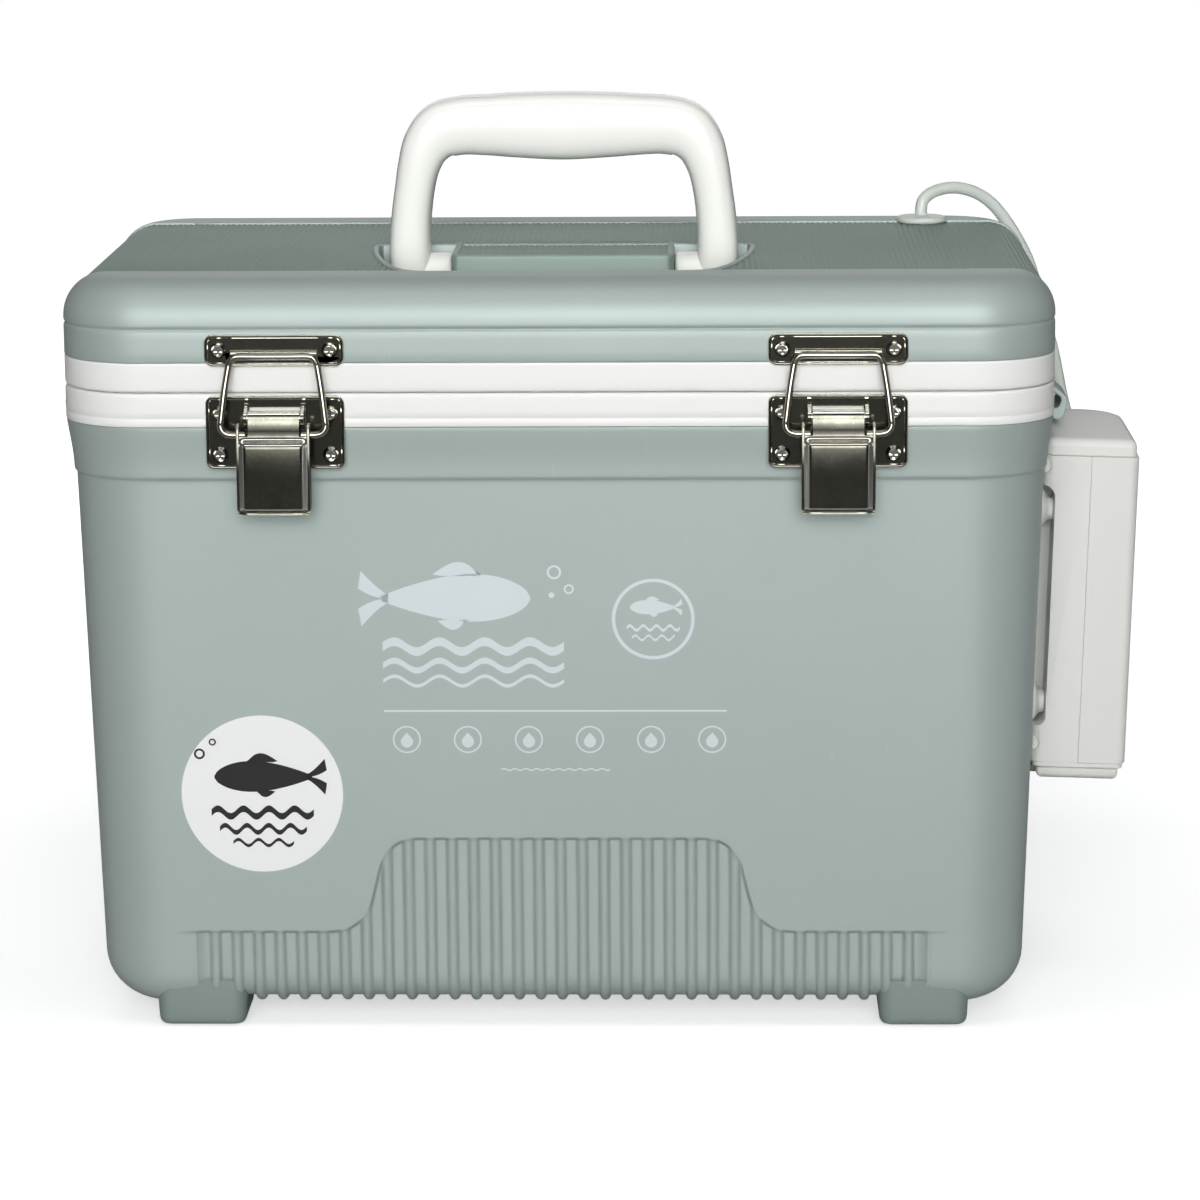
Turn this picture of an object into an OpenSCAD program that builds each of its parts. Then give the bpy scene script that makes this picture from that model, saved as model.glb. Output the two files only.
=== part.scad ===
// Aerated bait bucket: a hard insulated live-bait cooler with a battery air pump.
// Origin: centre of the base, on the floor. X to the right, Y to the back, Z up. Millimetres.

/* [Body] */
// Outside width across the rims
shell_w = 372; // [340:1:400]
// Outside depth across the rims
shell_d = 226; // [210:1:250]
// Plan radius of the upright corners
corner_r = 32; // [26:1:40]
// Height of the feet
foot_h = 7.5; // [6:0.5:12]
// Wall of the outer shell and the liner
wall = 2.5; // [2:0.1:3.5]
// Height of the coloured body above the feet
body_h = 226; // [204:0.5:244]
// Height of the coloured flange at the top of the body
flange_h = 20; // [16:0.5:24]
// Height of the white rim of the body
rim_h = 12.7; // [10:0.1:16]
// How far the wall stands in from the rim
wall_step = 3.4; // [2.5:0.1:5]
// Draft of the walls, in degrees
draft = 1.8; // [1.4:0.1:2.2]
// Thickness from the outside to the cavity at the rim
cavity_in = 22; // [20:0.5:26]
// Thickness of the floor, from the outside to the cavity
floor_t = 24.5; // [20:0.5:30]

/* [Ribs and feet] */
// Pitch of the upright ribs
rib_pitch = 8.25; // [7.5:0.05:9]
// Ribs on each side of the middle one
rib_side = 16; // [10:1:16]
// Width of one rib
rib_w = 4; // [3:0.1:5]
// Depth of the field that the ribs stand in
rib_depth = 2.2; // [1.8:0.1:2.6]
// Height of the low part of the rib field
rib_low = 37.5; // [34:0.5:44]
// Height of the raised middle of the rib field
rib_high = 74; // [64:0.5:90]
// Half width of the raised middle
rib_mid = 57; // [50:1:64]
// Width of one foot
foot_w = 34; // [28:1:40]
// Length of one foot from front to back
foot_l = 36; // [28:1:44]
// Distance of a foot's middle from the middle of the cooler
foot_x = 138; // [125:1:145]

/* [Lid] */
// Height of the white rim of the lid
lid_rim_h = 11.1; // [9:0.1:14]
// Gap between the two rims
lid_gap = 0.3; // [0.2:0.05:0.6]
// Height of the coloured lid shell
lid_h = 30.4; // [28:0.2:34]
// Radius of the lid's shoulder
shoulder_r = 16; // [12:0.5:18]
// Distance of the ridged panel from the lid's front and back
panel_in = 32; // [30:0.5:36]
// Depth of the ridged panel below its border
panel_dip = 0.7; // [0.4:0.1:1]
// Depth that the lid's plug reaches into the cavity
plug_h = 6; // [4:0.5:9]
// Gap round the plug
plug_gap = 3; // [2.5:0.1:4]

/* [Handle] */
// Height of the handle's top above its pivot
handle_h = 72.5; // [68:0.5:74]
// Half width of the handle at the pivot
handle_half = 68; // [66:0.5:69]
// Depth of the handle from front to back
handle_t = 21.5; // [19:0.5:22]
// Width of a leg
leg_w = 16; // [14:0.5:17]
// Height of the pivot below the lid's top
pivot_drop = 12; // [11.6:0.1:13]
// Distance of the pivot in front of the middle
pivot_front = 8; // [6:0.5:10]
// Diameter of the handle's pins
handle_pin_d = 6; // [5:0.5:7]
// Running clearance of the handle on its pins and in its pocket
handle_gap = 0.4; // [0.3:0.05:0.6]

/* [Latches] */
// Distance of a latch from the middle
latch_x = 104; // [95:1:112]
// Width of the strike and of the base plate
plate_w = 51.6; // [49:0.2:56]
// Height of the strike plate
strike_h = 12; // [11:0.2:14]
// Height of the base plate
base_h = 27.4; // [26:0.2:30]
// Thickness of the latch's sheet metal
sheet_t = 1.2; // [1:0.1:1.5]
// Width of the lever
lever_w = 27.2; // [26:0.2:29]
// Wire diameter of the bail
wire_d = 2.6; // [2.2:0.1:3]
// Diameter of the lever's pin
latch_pin_d = 3; // [2.6:0.1:3.2]
// Clearance between moving latch pieces
latch_gap = 0.35; // [0.3:0.05:0.45]
// Distance between the two screws of a plate
screw_span = 41; // [39:0.5:43]
// Diameter of the screw heads
head_d = 6; // [5:0.2:6.6]

/* [Hinges] */
// Distance of a hinge from the middle
hinge_x = 104; // [90:1:120]
// Length of a hinge
hinge_l = 60; // [50:1:70]
// Radius of the hinge's knuckles
knuckle_r = 4; // [3.5:0.1:4.5]
// Diameter of the hinge pin
hinge_pin_d = 4; // [3:0.1:4.4]
// Height of one hinge leaf
leaf_h = 14; // [13:0.5:15]

/* [Air line] */
// Distance of the grommet's middle from the lid's right side
grommet_side = 42.5; // [40:0.5:46]
// Distance of the grommet's middle from the lid's rear side
grommet_back = 31; // [30:0.5:33]
// Diameter of the grommet's flange
grommet_d = 20.4; // [18:0.2:22]
// Outside diameter of the air hose
hose_d = 5; // [4:0.2:6]
// Diameter of the air stone
stone_d = 18; // [14:0.5:20]
// Length of the air stone
stone_l = 40; // [30:1:46]

/* [Air pump] */
// Thickness of the pump away from the wall
pump_t = 37; // [35:0.5:40]
// Depth of the pump from front to back
pump_d = 80; // [74:1:84]
// Height of the pump
pump_h = 135; // [133:0.5:136]
// Height of the pump's underside above the floor
pump_z = 83; // [80:0.5:85]
// Distance of the pump's middle in front of the cooler's middle
pump_front = 4; // [2:0.5:8]
// Wall of the pump's shells
pump_wall = 2.2; // [1.8:0.1:2.6]
// Height of the pump's top cap
cap_h = 7; // [6:0.5:9]
// Height of the pump's bottom cap
foot_cap_h = 7; // [6:0.5:8]
// Diameter of the switch button
button_d = 14; // [12:0.5:16]
// Travel of the switch button
button_travel = 1.2; // [0.8:0.1:1.4]
// Gap between the pump and the wall behind it
stand_off = 3; // [2.6:0.2:4]

/* [Hidden] */

shell_colour = "#a3b2ae";
white_colour = "#ececea";
nickel = "#4a4a44";
chrome = "#b9b7ae";
rubber = "#c9cfc8";
foam_colour = "#e7dcae";

eps = 0.02;
half_w = shell_w / 2;
half_d = shell_d / 2;
flange_z = foot_h + body_h - flange_h;
rim_z = foot_h + body_h;
split_z = rim_z + rim_h;
lid_z = split_z + lid_gap;
lid_shell_z = lid_z + lid_rim_h;
top_z = lid_shell_z + lid_h;
side_round = 18;
front_round = 12;
flange_lip = 1;

// One rounded rectangle as a closed ring of points at height z
ring_steps = 6;
function ring(z, hw, hd, r) = [
    for (c = [0:3])
    for (i = [0:ring_steps])
    let (a = 90 * c + 90 * i / ring_steps)
    let (sx = (c == 0 || c == 3) ? 1 : -1)
    let (sy = (c < 2) ? 1 : -1)
    [sx * (hw - r) + r * cos(a), sy * (hd - r) + r * sin(a), z]
];

// A closed solid through a stack of rounded rectangles, each [z, half width, half depth, radius]
module stack(sections) {
    m = 4 * (ring_steps + 1);
    n = len(sections);
    points = [for (s = sections) each ring(s[0], s[1], s[2], s[3])];
    sides = [
        for (i = [0:n - 2])
        for (j = [0:m - 1])
        let (a = i * m + j)
        let (b = i * m + (j + 1) % m)
        each [[a, a + m, b + m], [a, b + m, b]]
    ];
    bottom = [for (j = [0:m - 1]) j];
    top = [for (j = [m - 1:-1:0]) (n - 1) * m + j];
    polyhedron(points = points, faces = concat([bottom], sides, [top]));
}

// Inset of the drafted wall at height z, measured from the rim
function wall_in(z) = wall_step + (flange_z - z) * tan(draft);

// Inset of the rounded underside at height z above the underside
function round_in(h, r) = h >= r ? 0 : r - sqrt(r * r - (r - h) * (r - h));

// One section of the tapered body, drawn in by extra
function body_section(z, extra) =
    let (h = max(z - foot_h - extra, 0))
    let (ix = wall_in(z) + round_in(h, side_round) + extra)
    let (iy = wall_in(z) + round_in(h, front_round) + extra)
    [z, half_w - ix, half_d - iy, max(corner_r - (ix + iy) / 3 - extra / 3, 6)];

// Heights of the sections above the underside, close together where it is round
body_levels = [0, 1.5, 6, 12, 25];

module body_form(extra, top_z) {
    stack(concat(
        [for (h = body_levels) body_section(foot_h + extra + h, extra)],
        [body_section(top_z, extra)]
    ));
}

module flange_form(extra) {
    lip = wall_step - flange_lip + extra;
    stack([
        [flange_z, half_w - lip, half_d - lip, corner_r - lip],
        [rim_z, half_w - extra, half_d - extra, corner_r - extra]
    ]);
}

// Outline of the rib field, seen from the front, with an S curve at each end of the raised middle
curve_steps = 6;
curve_r = (rib_high - rib_low) / 2;
function s_curve() = concat(
    [for (i = [0:curve_steps]) let (a = 90 * i / curve_steps)
        [rib_mid + curve_r * sin(a) * 0.72, rib_high - curve_r + curve_r * cos(a)]],
    [for (i = [1:curve_steps]) let (a = 90 * i / curve_steps)
        [rib_mid + curve_r * (1.44 - 0.72 * cos(a)), rib_high - curve_r - curve_r * sin(a)]]
);
rib_field_half = rib_pitch * rib_side + rib_pitch * 0.9;
module rib_field() {
    right = concat(s_curve(), [[rib_field_half, rib_low], [rib_field_half, foot_h - 1]]);
    left = [for (i = [len(right) - 1:-1:0]) [-right[i][0], right[i][1]]];
    rotate([90, 0, 0])
        linear_extrude(shell_d, center = true)
            polygon(concat(right, left));
}

function rib_top(x) = abs(x) < rib_mid + curve_r * 0.5 ? rib_high
    : abs(x) < rib_mid + curve_r * 1.1 ? rib_low + curve_r * 0.7 : rib_low;
module ribs() {
    for (i = [-rib_side:rib_side])
        translate([i * rib_pitch - rib_w / 2, -half_d, foot_h])
            cube([rib_w, shell_d, rib_top(i * rib_pitch) - foot_h]);
}

module foot(sx, sy) {
    foot_y = half_d - wall_in(foot_h) - front_round - foot_l / 2 + 11;
    translate([sx * foot_x, sy * foot_y, 0])
        stack([
            [0, foot_w / 2 - 3, foot_l / 2 - 3, 3],
            [1, foot_w / 2 - 1.2, foot_l / 2 - 1.2, 4],
            [3, foot_w / 2, foot_l / 2, 5],
            [foot_h + 4, foot_w / 2 + 0.5, foot_l / 2 + 0.5, 5]
        ]);
}

// Loop for the shoulder strap, moulded on the flange, with an eye along Y
lug_z = rim_z - 5.5;
lug_out = 13.7;
lug_l = 26;
lug_eye_d = 6;
lug_eye_x = half_w + 5.2;
lug_eye_z = lug_z - 0.5;
module strap_lug(sx) {
    difference() {
        translate([sx * (half_w - 3), 0, lug_z])
            rotate([90, 0, 0])
                linear_extrude(lug_l, center = true)
                    polygon([
                        [0, 6.5], [sx * (lug_out - 6), 6], [sx * lug_out, 1],
                        [sx * (lug_out - 1), -4.6], [sx * (lug_out - 2.6), -8],
                        [sx * (lug_out - 5.2), -8], [sx * (lug_out - 6.4), -6.5], [0, -6.5]
                    ]);
        translate([sx * lug_eye_x, 0, lug_eye_z])
            rotate([90, 0, 0])
                cylinder(d = lug_eye_d, h = lug_l + 14, center = true, $fn = 48);
    }
}

// Places of the bores that the fixings need
mount_low = 29.5;
mount_high = 106;
mount_y = 9 - pump_d / 2;
base_z = split_z - 0.6 - base_h;
base_screw_z = [base_z + 5.4, base_z + 20.6];
strike_z = lid_shell_z - 1.1;
strike_screw_z = strike_z + strike_h / 2;
screw_d = 2.8;
screw_l = 9;

module front_bores(zs, d) {
    for (sx = [-1, 1])
    for (sy = [-1, 1])
    for (z = zs)
        translate([sx * latch_x + sy * screw_span / 2, -half_d, z])
            rotate([90, 0, 0])
                cylinder(d = d, h = 2 * (screw_l + 4), center = true, $fn = 24);
}

leaf_gap = 2;
hinge_span = hinge_l * 0.62;
hinge_body_screw_z = split_z - 9;
hinge_lid_screw_z = lid_z + 9;
module rear_bores(z, d) {
    for (sx = [-1, 1])
    for (sy = [-1, 1])
        translate([sx * hinge_x + sy * hinge_span / 2, half_d, z])
            rotate([90, 0, 0])
                cylinder(d = d, h = 2 * (screw_l + 4), center = true, $fn = 24);
}

module wall_bores(d) {
    at_pump()
        for (z = [mount_low, mount_high])
            translate([-stand_off - 20, mount_y, z])
                rotate([0, 90, 0])
                    cylinder(d = d, h = 21, $fn = 24);
}

module outer_shell() {
    color(shell_colour)
    difference() {
        union() {
            body_form(rib_depth, flange_z + eps);
            intersection() {
                body_form(0.25, rib_high + 5);
                ribs();
            }
            difference() {
                body_form(0, flange_z + eps);
                rib_field();
            }
            flange_form(0);
            for (sx = [-1, 1])
            for (sy = [-1, 1])
                foot(sx, sy);
            for (sx = [-1, 1])
                strap_lug(sx);
        }
        body_form(rib_depth + wall, flange_z);
        translate([0, 0, -eps])
            flange_form(wall);
        translate([0, 0, rim_z - 1])
            stack([
                [0, half_w - wall, half_d - wall, corner_r - wall],
                [2, half_w - wall, half_d - wall, corner_r - wall]
            ]);
        front_bores(base_screw_z, screw_d);
        wall_bores(screw_d);
        translate([0, 0, rim_z])
            rim_band(0, split_z - rim_z, 0, 0);
    }
}

// The cavity, drawn out by extra
cavity_floor = foot_h + floor_t;
cavity_r = corner_r - 12;
cavity_draft = 1.6;
function cavity_section(z, extra, more) =
    let (i = cavity_in + (split_z - z) * tan(cavity_draft) + more - extra)
    [z, half_w - i, half_d - i, max(cavity_r - more / 2 + extra, 4)];
module cavity_form(extra, top) {
    stack([
        cavity_section(cavity_floor - extra, extra, 5),
        cavity_section(cavity_floor - extra + 1.5, extra, 2),
        cavity_section(cavity_floor - extra + 5, extra, 0),
        cavity_section(top, extra, 0)
    ]);
}

skirt_t = 3;
rim_edge = 1.2;
module rim_band(z0, z1, soft_top, soft_bottom) {
    stack([
        [z0, half_w - soft_bottom, half_d - soft_bottom, corner_r - soft_bottom],
        [z0 + rim_edge, half_w, half_d, corner_r],
        [z1 - rim_edge, half_w, half_d, corner_r],
        [z1, half_w - soft_top, half_d - soft_top, corner_r - soft_top]
    ]);
}

module inner_liner() {
    color(white_colour)
    difference() {
        union() {
            difference() {
                rim_band(rim_z, split_z, rim_edge, 0.3);
                stack([
                    [rim_z - 1, half_w - skirt_t, half_d - skirt_t, corner_r - skirt_t],
                    [split_z - skirt_t, half_w - skirt_t, half_d - skirt_t, corner_r - skirt_t]
                ]);
            }
            cavity_form(wall, split_z - 1);
        }
        cavity_form(0, split_z + 2);
        front_bores([base_screw_z[1]], screw_d);
        rear_bores(hinge_body_screw_z, screw_d);
    }
}

foam_gap = 0.3;
module body_insulation() {
    color(foam_colour)
    difference() {
        union() {
            body_form(rib_depth + wall + foam_gap, flange_z);
            stack([
                [flange_z - 1, half_w - 9, half_d - 9, corner_r - 9],
                [split_z - skirt_t - foam_gap, half_w - 9, half_d - 9, corner_r - 9]
            ]);
        }
        cavity_form(wall + foam_gap, split_z + 2);
        front_bores(base_screw_z, screw_d + 1);
        rear_bores(hinge_body_screw_z, screw_d + 1);
        wall_bores(screw_d + 5);
    }
}

// Pocket of the handle in the lid, as a half outline from the back to the front
pocket_half = handle_half + 4.6;
pocket_back = handle_t / 2 - pivot_front + 0.6;
pocket_front = handle_h - handle_t / 2 + pivot_front + 12.4;
pocket_floor = top_z - pivot_drop - handle_t / 2 - 1;
pivot_z = top_z - pivot_drop;
pivot_y = -pivot_front;
pocket_half_outline = [
    [pocket_half - 2, pocket_back], [pocket_half, pocket_back - 2], [pocket_half, -6],
    [pocket_half - 1.6, -26], [pocket_half - 4.6, -44], [pocket_half - 8.2, -60],
    [pocket_half - 11.5, -pocket_front + 12], [pocket_half - 15, -pocket_front + 5],
    [pocket_half - 19, -pocket_front + 1.5], [pocket_half - 24, -pocket_front]
];
module pocket_outline(extra) {
    left = [for (i = [len(pocket_half_outline) - 1:-1:0])
        [-pocket_half_outline[i][0], pocket_half_outline[i][1]]];
    offset(delta = extra)
        polygon(concat(pocket_half_outline, left));
}

// Block that stands in the pocket and carries the inner ends of the handle's pins
block_half = 43;
block_front = 34;
module block_outline(extra) {
    offset(delta = extra)
        polygon([
            [-block_half, pocket_back + 6], [-block_half, -block_front + 4],
            [-block_half + 4, -block_front], [block_half - 4, -block_front],
            [block_half, -block_front + 4], [block_half, pocket_back + 6]
        ]);
}

shoulder_steps = 5;
module lid_form(extra) {
    r = shoulder_r - extra;
    stack(concat(
        [[lid_shell_z, half_w - extra, half_d - extra, corner_r - extra]],
        [for (i = [0:shoulder_steps]) let (a = 90 * i / shoulder_steps)
            let (inset = extra + r * (1 - cos(a)))
            [top_z - shoulder_r + r * sin(a), half_w - inset, half_d - inset, corner_r - inset * 0.7]]
    ));
}

module pin_bores(d, from, to) {
    for (sx = [-1, 1])
        translate([sx * from, pivot_y, pivot_z])
            rotate([0, sx * 90, 0])
                cylinder(d = d, h = to - from, $fn = 48);
}
pin_in = block_half - 4;
pin_out = pocket_half + wall + 2;

// The ridged band is sunk all the way across the top and down both shoulders
band_low = lid_shell_z + 17.5;
module ridged_band() {
    difference() {
        translate([-half_w - 1, panel_in - half_d, band_low])
            cube([shell_w + 2, shell_d - 2 * panel_in, top_z - band_low + 1]);
        lid_form(panel_dip);
        translate([0, 0, top_z - 2 * panel_dip])
            linear_extrude(4)
                pocket_outline(2.2);
    }
}

module lid_shell() {
    color(shell_colour)
    difference() {
        union() {
            difference() {
                lid_form(0);
                translate([0, 0, -eps])
                    lid_form(wall);
            }
            translate([0, 0, pocket_floor - wall])
                linear_extrude(top_z - pocket_floor)
                    pocket_outline(wall);
        }
        difference() {
            translate([0, 0, pocket_floor])
                linear_extrude(40)
                    pocket_outline(0);
            translate([0, 0, pocket_floor - 1])
                linear_extrude(42)
                    block_outline(0);
        }
        translate([0, 0, pocket_floor - 10])
            linear_extrude(top_z - pocket_floor + 10 - wall)
                intersection() {
                    block_outline(-wall);
                    pocket_outline(0);
                }
        ridged_band();
        pin_bores(handle_pin_d, pin_in - 1, pin_out);
        translate([grommet_x, grommet_y, top_z - 8])
            cylinder(d = neck_d, h = 12, $fn = 48);
        translate([grommet_x, grommet_y, top_z - panel_dip])
            cylinder(d = grommet_d + 0.4, h = 4, $fn = 64);
        front_bores([strike_screw_z], screw_d);
    }
}

// The underside of the lid: a white tray with a plug that reaches into the cavity
plug_in = cavity_in + plug_gap;
gasket_in = 13;
gasket_w = 6;
groove_h = 2;
gasket_lift = 0.05;
module gasket_ring(h, side) {
    outer = gasket_in - side;
    inner = gasket_in + gasket_w + side;
    difference() {
        linear_extrude(h)
            offset(r = corner_r - outer)
                square([shell_w - 2 * corner_r, shell_d - 2 * corner_r], center = true);
        translate([0, 0, -1])
            linear_extrude(h + 2)
                offset(r = corner_r - inner)
                    square([shell_w - 2 * corner_r, shell_d - 2 * corner_r], center = true);
    }
}

module lid_liner() {
    color(white_colour)
    difference() {
        union() {
            rim_band(lid_z, lid_shell_z, 0.3, rim_edge);
            stack([
                [split_z - plug_h, half_w - plug_in - 2, half_d - plug_in - 2, cavity_r - 2],
                [split_z - plug_h + 2, half_w - plug_in, half_d - plug_in, cavity_r],
                [lid_z + 1, half_w - plug_in, half_d - plug_in, cavity_r]
            ]);
        }
        stack([
            [split_z - plug_h + skirt_t, half_w - plug_in - skirt_t, half_d - plug_in - skirt_t, cavity_r - 3],
            [lid_z + skirt_t + 1, half_w - plug_in - skirt_t, half_d - plug_in - skirt_t, cavity_r - 3]
        ]);
        stack([
            [lid_z + skirt_t + 0.6, half_w - skirt_t, half_d - skirt_t, corner_r - skirt_t],
            [lid_shell_z + 1, half_w - skirt_t, half_d - skirt_t, corner_r - skirt_t]
        ]);
        translate([0, 0, lid_z - eps])
            gasket_ring(groove_h + eps, 0.3);
        translate([grommet_x, grommet_y, split_z - plug_h - 1])
            cylinder(d = neck_d, h = 20, $fn = 48);
        rear_bores(hinge_lid_screw_z, screw_d);
    }
}

foam_top_in = 24;
module lid_insulation() {
    foam_in = plug_in + skirt_t + foam_gap;
    color(foam_colour)
    difference() {
        union() {
            stack([
                [lid_z + skirt_t + 1, half_w - 10, half_d - 10, corner_r - 10],
                [lid_shell_z + 9, half_w - 10, half_d - 10, corner_r - 10],
                [top_z - panel_dip - wall - foam_gap, half_w - foam_top_in, half_d - foam_top_in, corner_r - 16]
            ]);
            stack([
                [split_z - plug_h + skirt_t + foam_gap, half_w - foam_in, half_d - foam_in, cavity_r - 4],
                [lid_z + skirt_t + 2, half_w - foam_in, half_d - foam_in, cavity_r - 4]
            ]);
        }
        translate([0, 0, pocket_floor - wall - foam_gap])
            linear_extrude(60)
                pocket_outline(wall + 2.6);
        translate([grommet_x, grommet_y, split_z - plug_h])
            cylinder(d = neck_d + 1, h = 60, $fn = 32);
        front_bores([strike_screw_z], screw_d + 1);
        rear_bores(hinge_lid_screw_z, screw_d + 1);
    }
}

module lid_gasket() {
    color("#d8d8d4")
    translate([0, 0, split_z + gasket_lift])
        gasket_ring(lid_gap + groove_h - gasket_lift, 0);
}

// Handle: one tapered section carried round a bow, and two hubs on the pins
bow_sides = 16;
hub_r = 10;
hub_in = block_half + handle_gap;
// Right half of the bow, from the hub to the middle: [x, height above pivot, width, depth]
bow = [
    [60, 0, leg_w, 20], [60, 12, leg_w, 21.5], [59.4, 24, leg_w - 0.4, 21.5], [58, 35, leg_w - 0.6, 21.5],
    [56.2, 44, 16.4, 21.5], [53, 52, 19, 21.5], [47.4, 57.6, 22, 21.5], [39.5, 59.6, 22.6, 21.5],
    [30, 59.8, 23.4, 21.5], [18, 59.7, 25, 21.5], [0, 59.4, 26.2, 21.5]
];
function bow_path() = concat(bow, [for (i = [len(bow) - 2:-1:0]) [-bow[i][0], bow[i][1], bow[i][2], bow[i][3]]]);
function bow_dir(p, i) =
    let (a = p[max(i - 1, 0)])
    let (b = p[min(i + 1, len(p) - 1)])
    let (d = [b[0] - a[0], b[1] - a[1]])
    d / norm(d);
// A rounded-square section: the power makes it fuller than an ellipse
function full(v) = sign(v) * pow(abs(v), 0.7);
module bow_body() {
    path = bow_path();
    n = len(path);
    x_scale = handle_half / 68;
    z_scale = handle_h / 72.5;
    points = [
        for (i = [0:n - 1])
        let (d = i == 0 ? [0, 1] : i == n - 1 ? [0, -1] : bow_dir(path, i))
        for (k = [0:bow_sides - 1])
        let (a = 360 * k / bow_sides)
        let (u = full(cos(a)) * path[i][2] / 2)
        let (v = full(sin(a)) * path[i][3] / 2 * handle_t / 21.5)
        [x_scale * path[i][0] + u * d[1], v, z_scale * path[i][1] - u * d[0]]
    ];
    sides = [
        for (i = [0:n - 2])
        for (k = [0:bow_sides - 1])
        let (a = i * bow_sides + k)
        let (b = i * bow_sides + (k + 1) % bow_sides)
        each [[a, a + bow_sides, b + bow_sides], [a, b + bow_sides, b]]
    ];
    first = [for (k = [0:bow_sides - 1]) k];
    last = [for (k = [bow_sides - 1:-1:0]) (n - 1) * bow_sides + k];
    polyhedron(points = points, faces = concat([first], sides, [last]));
}

module carry_handle() {
    color(white_colour)
    translate([0, pivot_y, pivot_z])
        difference() {
            union() {
                bow_body();
                for (sx = [-1, 1])
                    translate([sx * hub_in, 0, 0])
                        rotate([0, sx * 90, 0])
                            cylinder(r = hub_r, h = handle_half - hub_in - 0.5, $fn = 64);
            }
            rotate([0, 90, 0])
                cylinder(d = handle_pin_d + 2 * handle_gap, h = 200, center = true, $fn = 48);
        }
}

module handle_pins() {
    color(chrome)
    pin_bores(handle_pin_d, pin_in, pin_out);
}

// Hinges at the back: the axis lies level with the split, just behind the rims
leaf_t = 2;
axis_y = half_d + leaf_t + knuckle_r - 1.2;
axis_z = split_z + lid_gap / 2;
knuckles = 5;
knuckle_l = hinge_l / knuckles;
knuckle_gap = 0.35;
module hinge_leaf(up) {
    first = up > 0 ? 1 : 0;
    difference() {
        union() {
            translate([-hinge_l / 2, half_d, up > 0 ? axis_z + leaf_gap : axis_z - leaf_gap - leaf_h])
                cube([hinge_l, leaf_t, leaf_h]);
            for (k = [first:2:knuckles - 1])
                translate([-hinge_l / 2 + k * knuckle_l + knuckle_gap / 2, axis_y, axis_z])
                    union() {
                        rotate([0, 90, 0])
                            cylinder(r = knuckle_r, h = knuckle_l - knuckle_gap, $fn = 48);
                        translate([0, -knuckle_r + 1.2 - leaf_t, up > 0 ? 0 : -leaf_gap - 4])
                            cube([knuckle_l - knuckle_gap, leaf_t, leaf_gap + 4]);
                    }
        }
        translate([-hinge_l, axis_y, axis_z])
            rotate([0, 90, 0])
                cylinder(d = hinge_pin_d + 0.4, h = 2 * hinge_l, $fn = 48);
        for (k = [1 - first:2:knuckles - 1])
            translate([-hinge_l / 2 + k * knuckle_l - knuckle_gap / 2, axis_y, axis_z])
                rotate([0, 90, 0])
                    cylinder(r = knuckle_r + 0.5, h = knuckle_l + knuckle_gap, $fn = 48);
        for (sx = [-1, 1])
            translate([sx * hinge_span / 2, half_d + 1, up > 0 ? hinge_lid_screw_z : hinge_body_screw_z])
                rotate([90, 0, 0])
                    cylinder(d = screw_d + 0.4, h = 10, center = true, $fn = 24);
    }
}

module hinge_pins() {
    color(chrome)
    for (sx = [-1, 1])
        translate([sx * hinge_x - hinge_l / 2 - 1, axis_y, axis_z])
            rotate([0, 90, 0])
                union() {
                    cylinder(d = hinge_pin_d, h = hinge_l + 2, $fn = 48);
                    translate([0, 0, -0.6])
                        cylinder(d = hinge_pin_d + 2, h = 1.4, $fn = 48);
                    translate([0, 0, hinge_l + 1.2])
                        cylinder(d = hinge_pin_d + 2, h = 1.4, $fn = 48);
                }
}

// A cross-head screw pointing along +Z, with its head on top of the surface at z = 0
head_h = 1.8;
module screw(length) {
    difference() {
        union() {
            cylinder(d1 = head_d, d2 = head_d * 0.62, h = head_h, $fn = 32);
            translate([0, 0, -length])
                cylinder(d = screw_d, h = length + eps, $fn = 24);
        }
        for (a = [0, 90])
            rotate([0, 0, a])
                translate([-head_d * 0.26, -0.4, head_h - 1])
                    cube([head_d * 0.52, 0.8, 2]);
    }
}

module rear_screws(z) {
    for (sx = [-1, 1])
    for (sy = [-1, 1])
        translate([sx * hinge_x + sy * hinge_span / 2, half_d + leaf_t, z])
            rotate([-90, 0, 0])
                screw(screw_l);
}

module hinge_screws_body() {
    color(chrome)
    rear_screws(hinge_body_screw_z);
}

module hinge_screws_lid() {
    color(chrome)
    rear_screws(hinge_lid_screw_z);
}

// Draw latches. Each is drawn about x = 0 and set at its place.
ear_t = 1.3;
ear_in = 9.9;
lever_pin_y = -half_d - 5.4;
lever_pin_z = base_z + 19.6;
bail_y = lever_pin_y - 4;
bail_z = lever_pin_z - 5.6;
curl_half = ear_in - latch_gap;
curl_r = 2.9;
cheek_t = 1.2;
cheek_out = lever_w / 2;
module plate(w, h, r, z) {
    translate([0, -half_d, z + h / 2])
        rotate([90, 0, 0])
            linear_extrude(sheet_t)
                offset(r = r)
                    square([w - 2 * r, h - 2 * r], center = true);
}

module screw_holes(zs) {
    for (sx = [-1, 1])
    for (z = zs)
        translate([sx * screw_span / 2, -half_d, z])
            rotate([90, 0, 0])
                cylinder(d = screw_d + 0.4, h = 8, center = true, $fn = 24);
}

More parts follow.
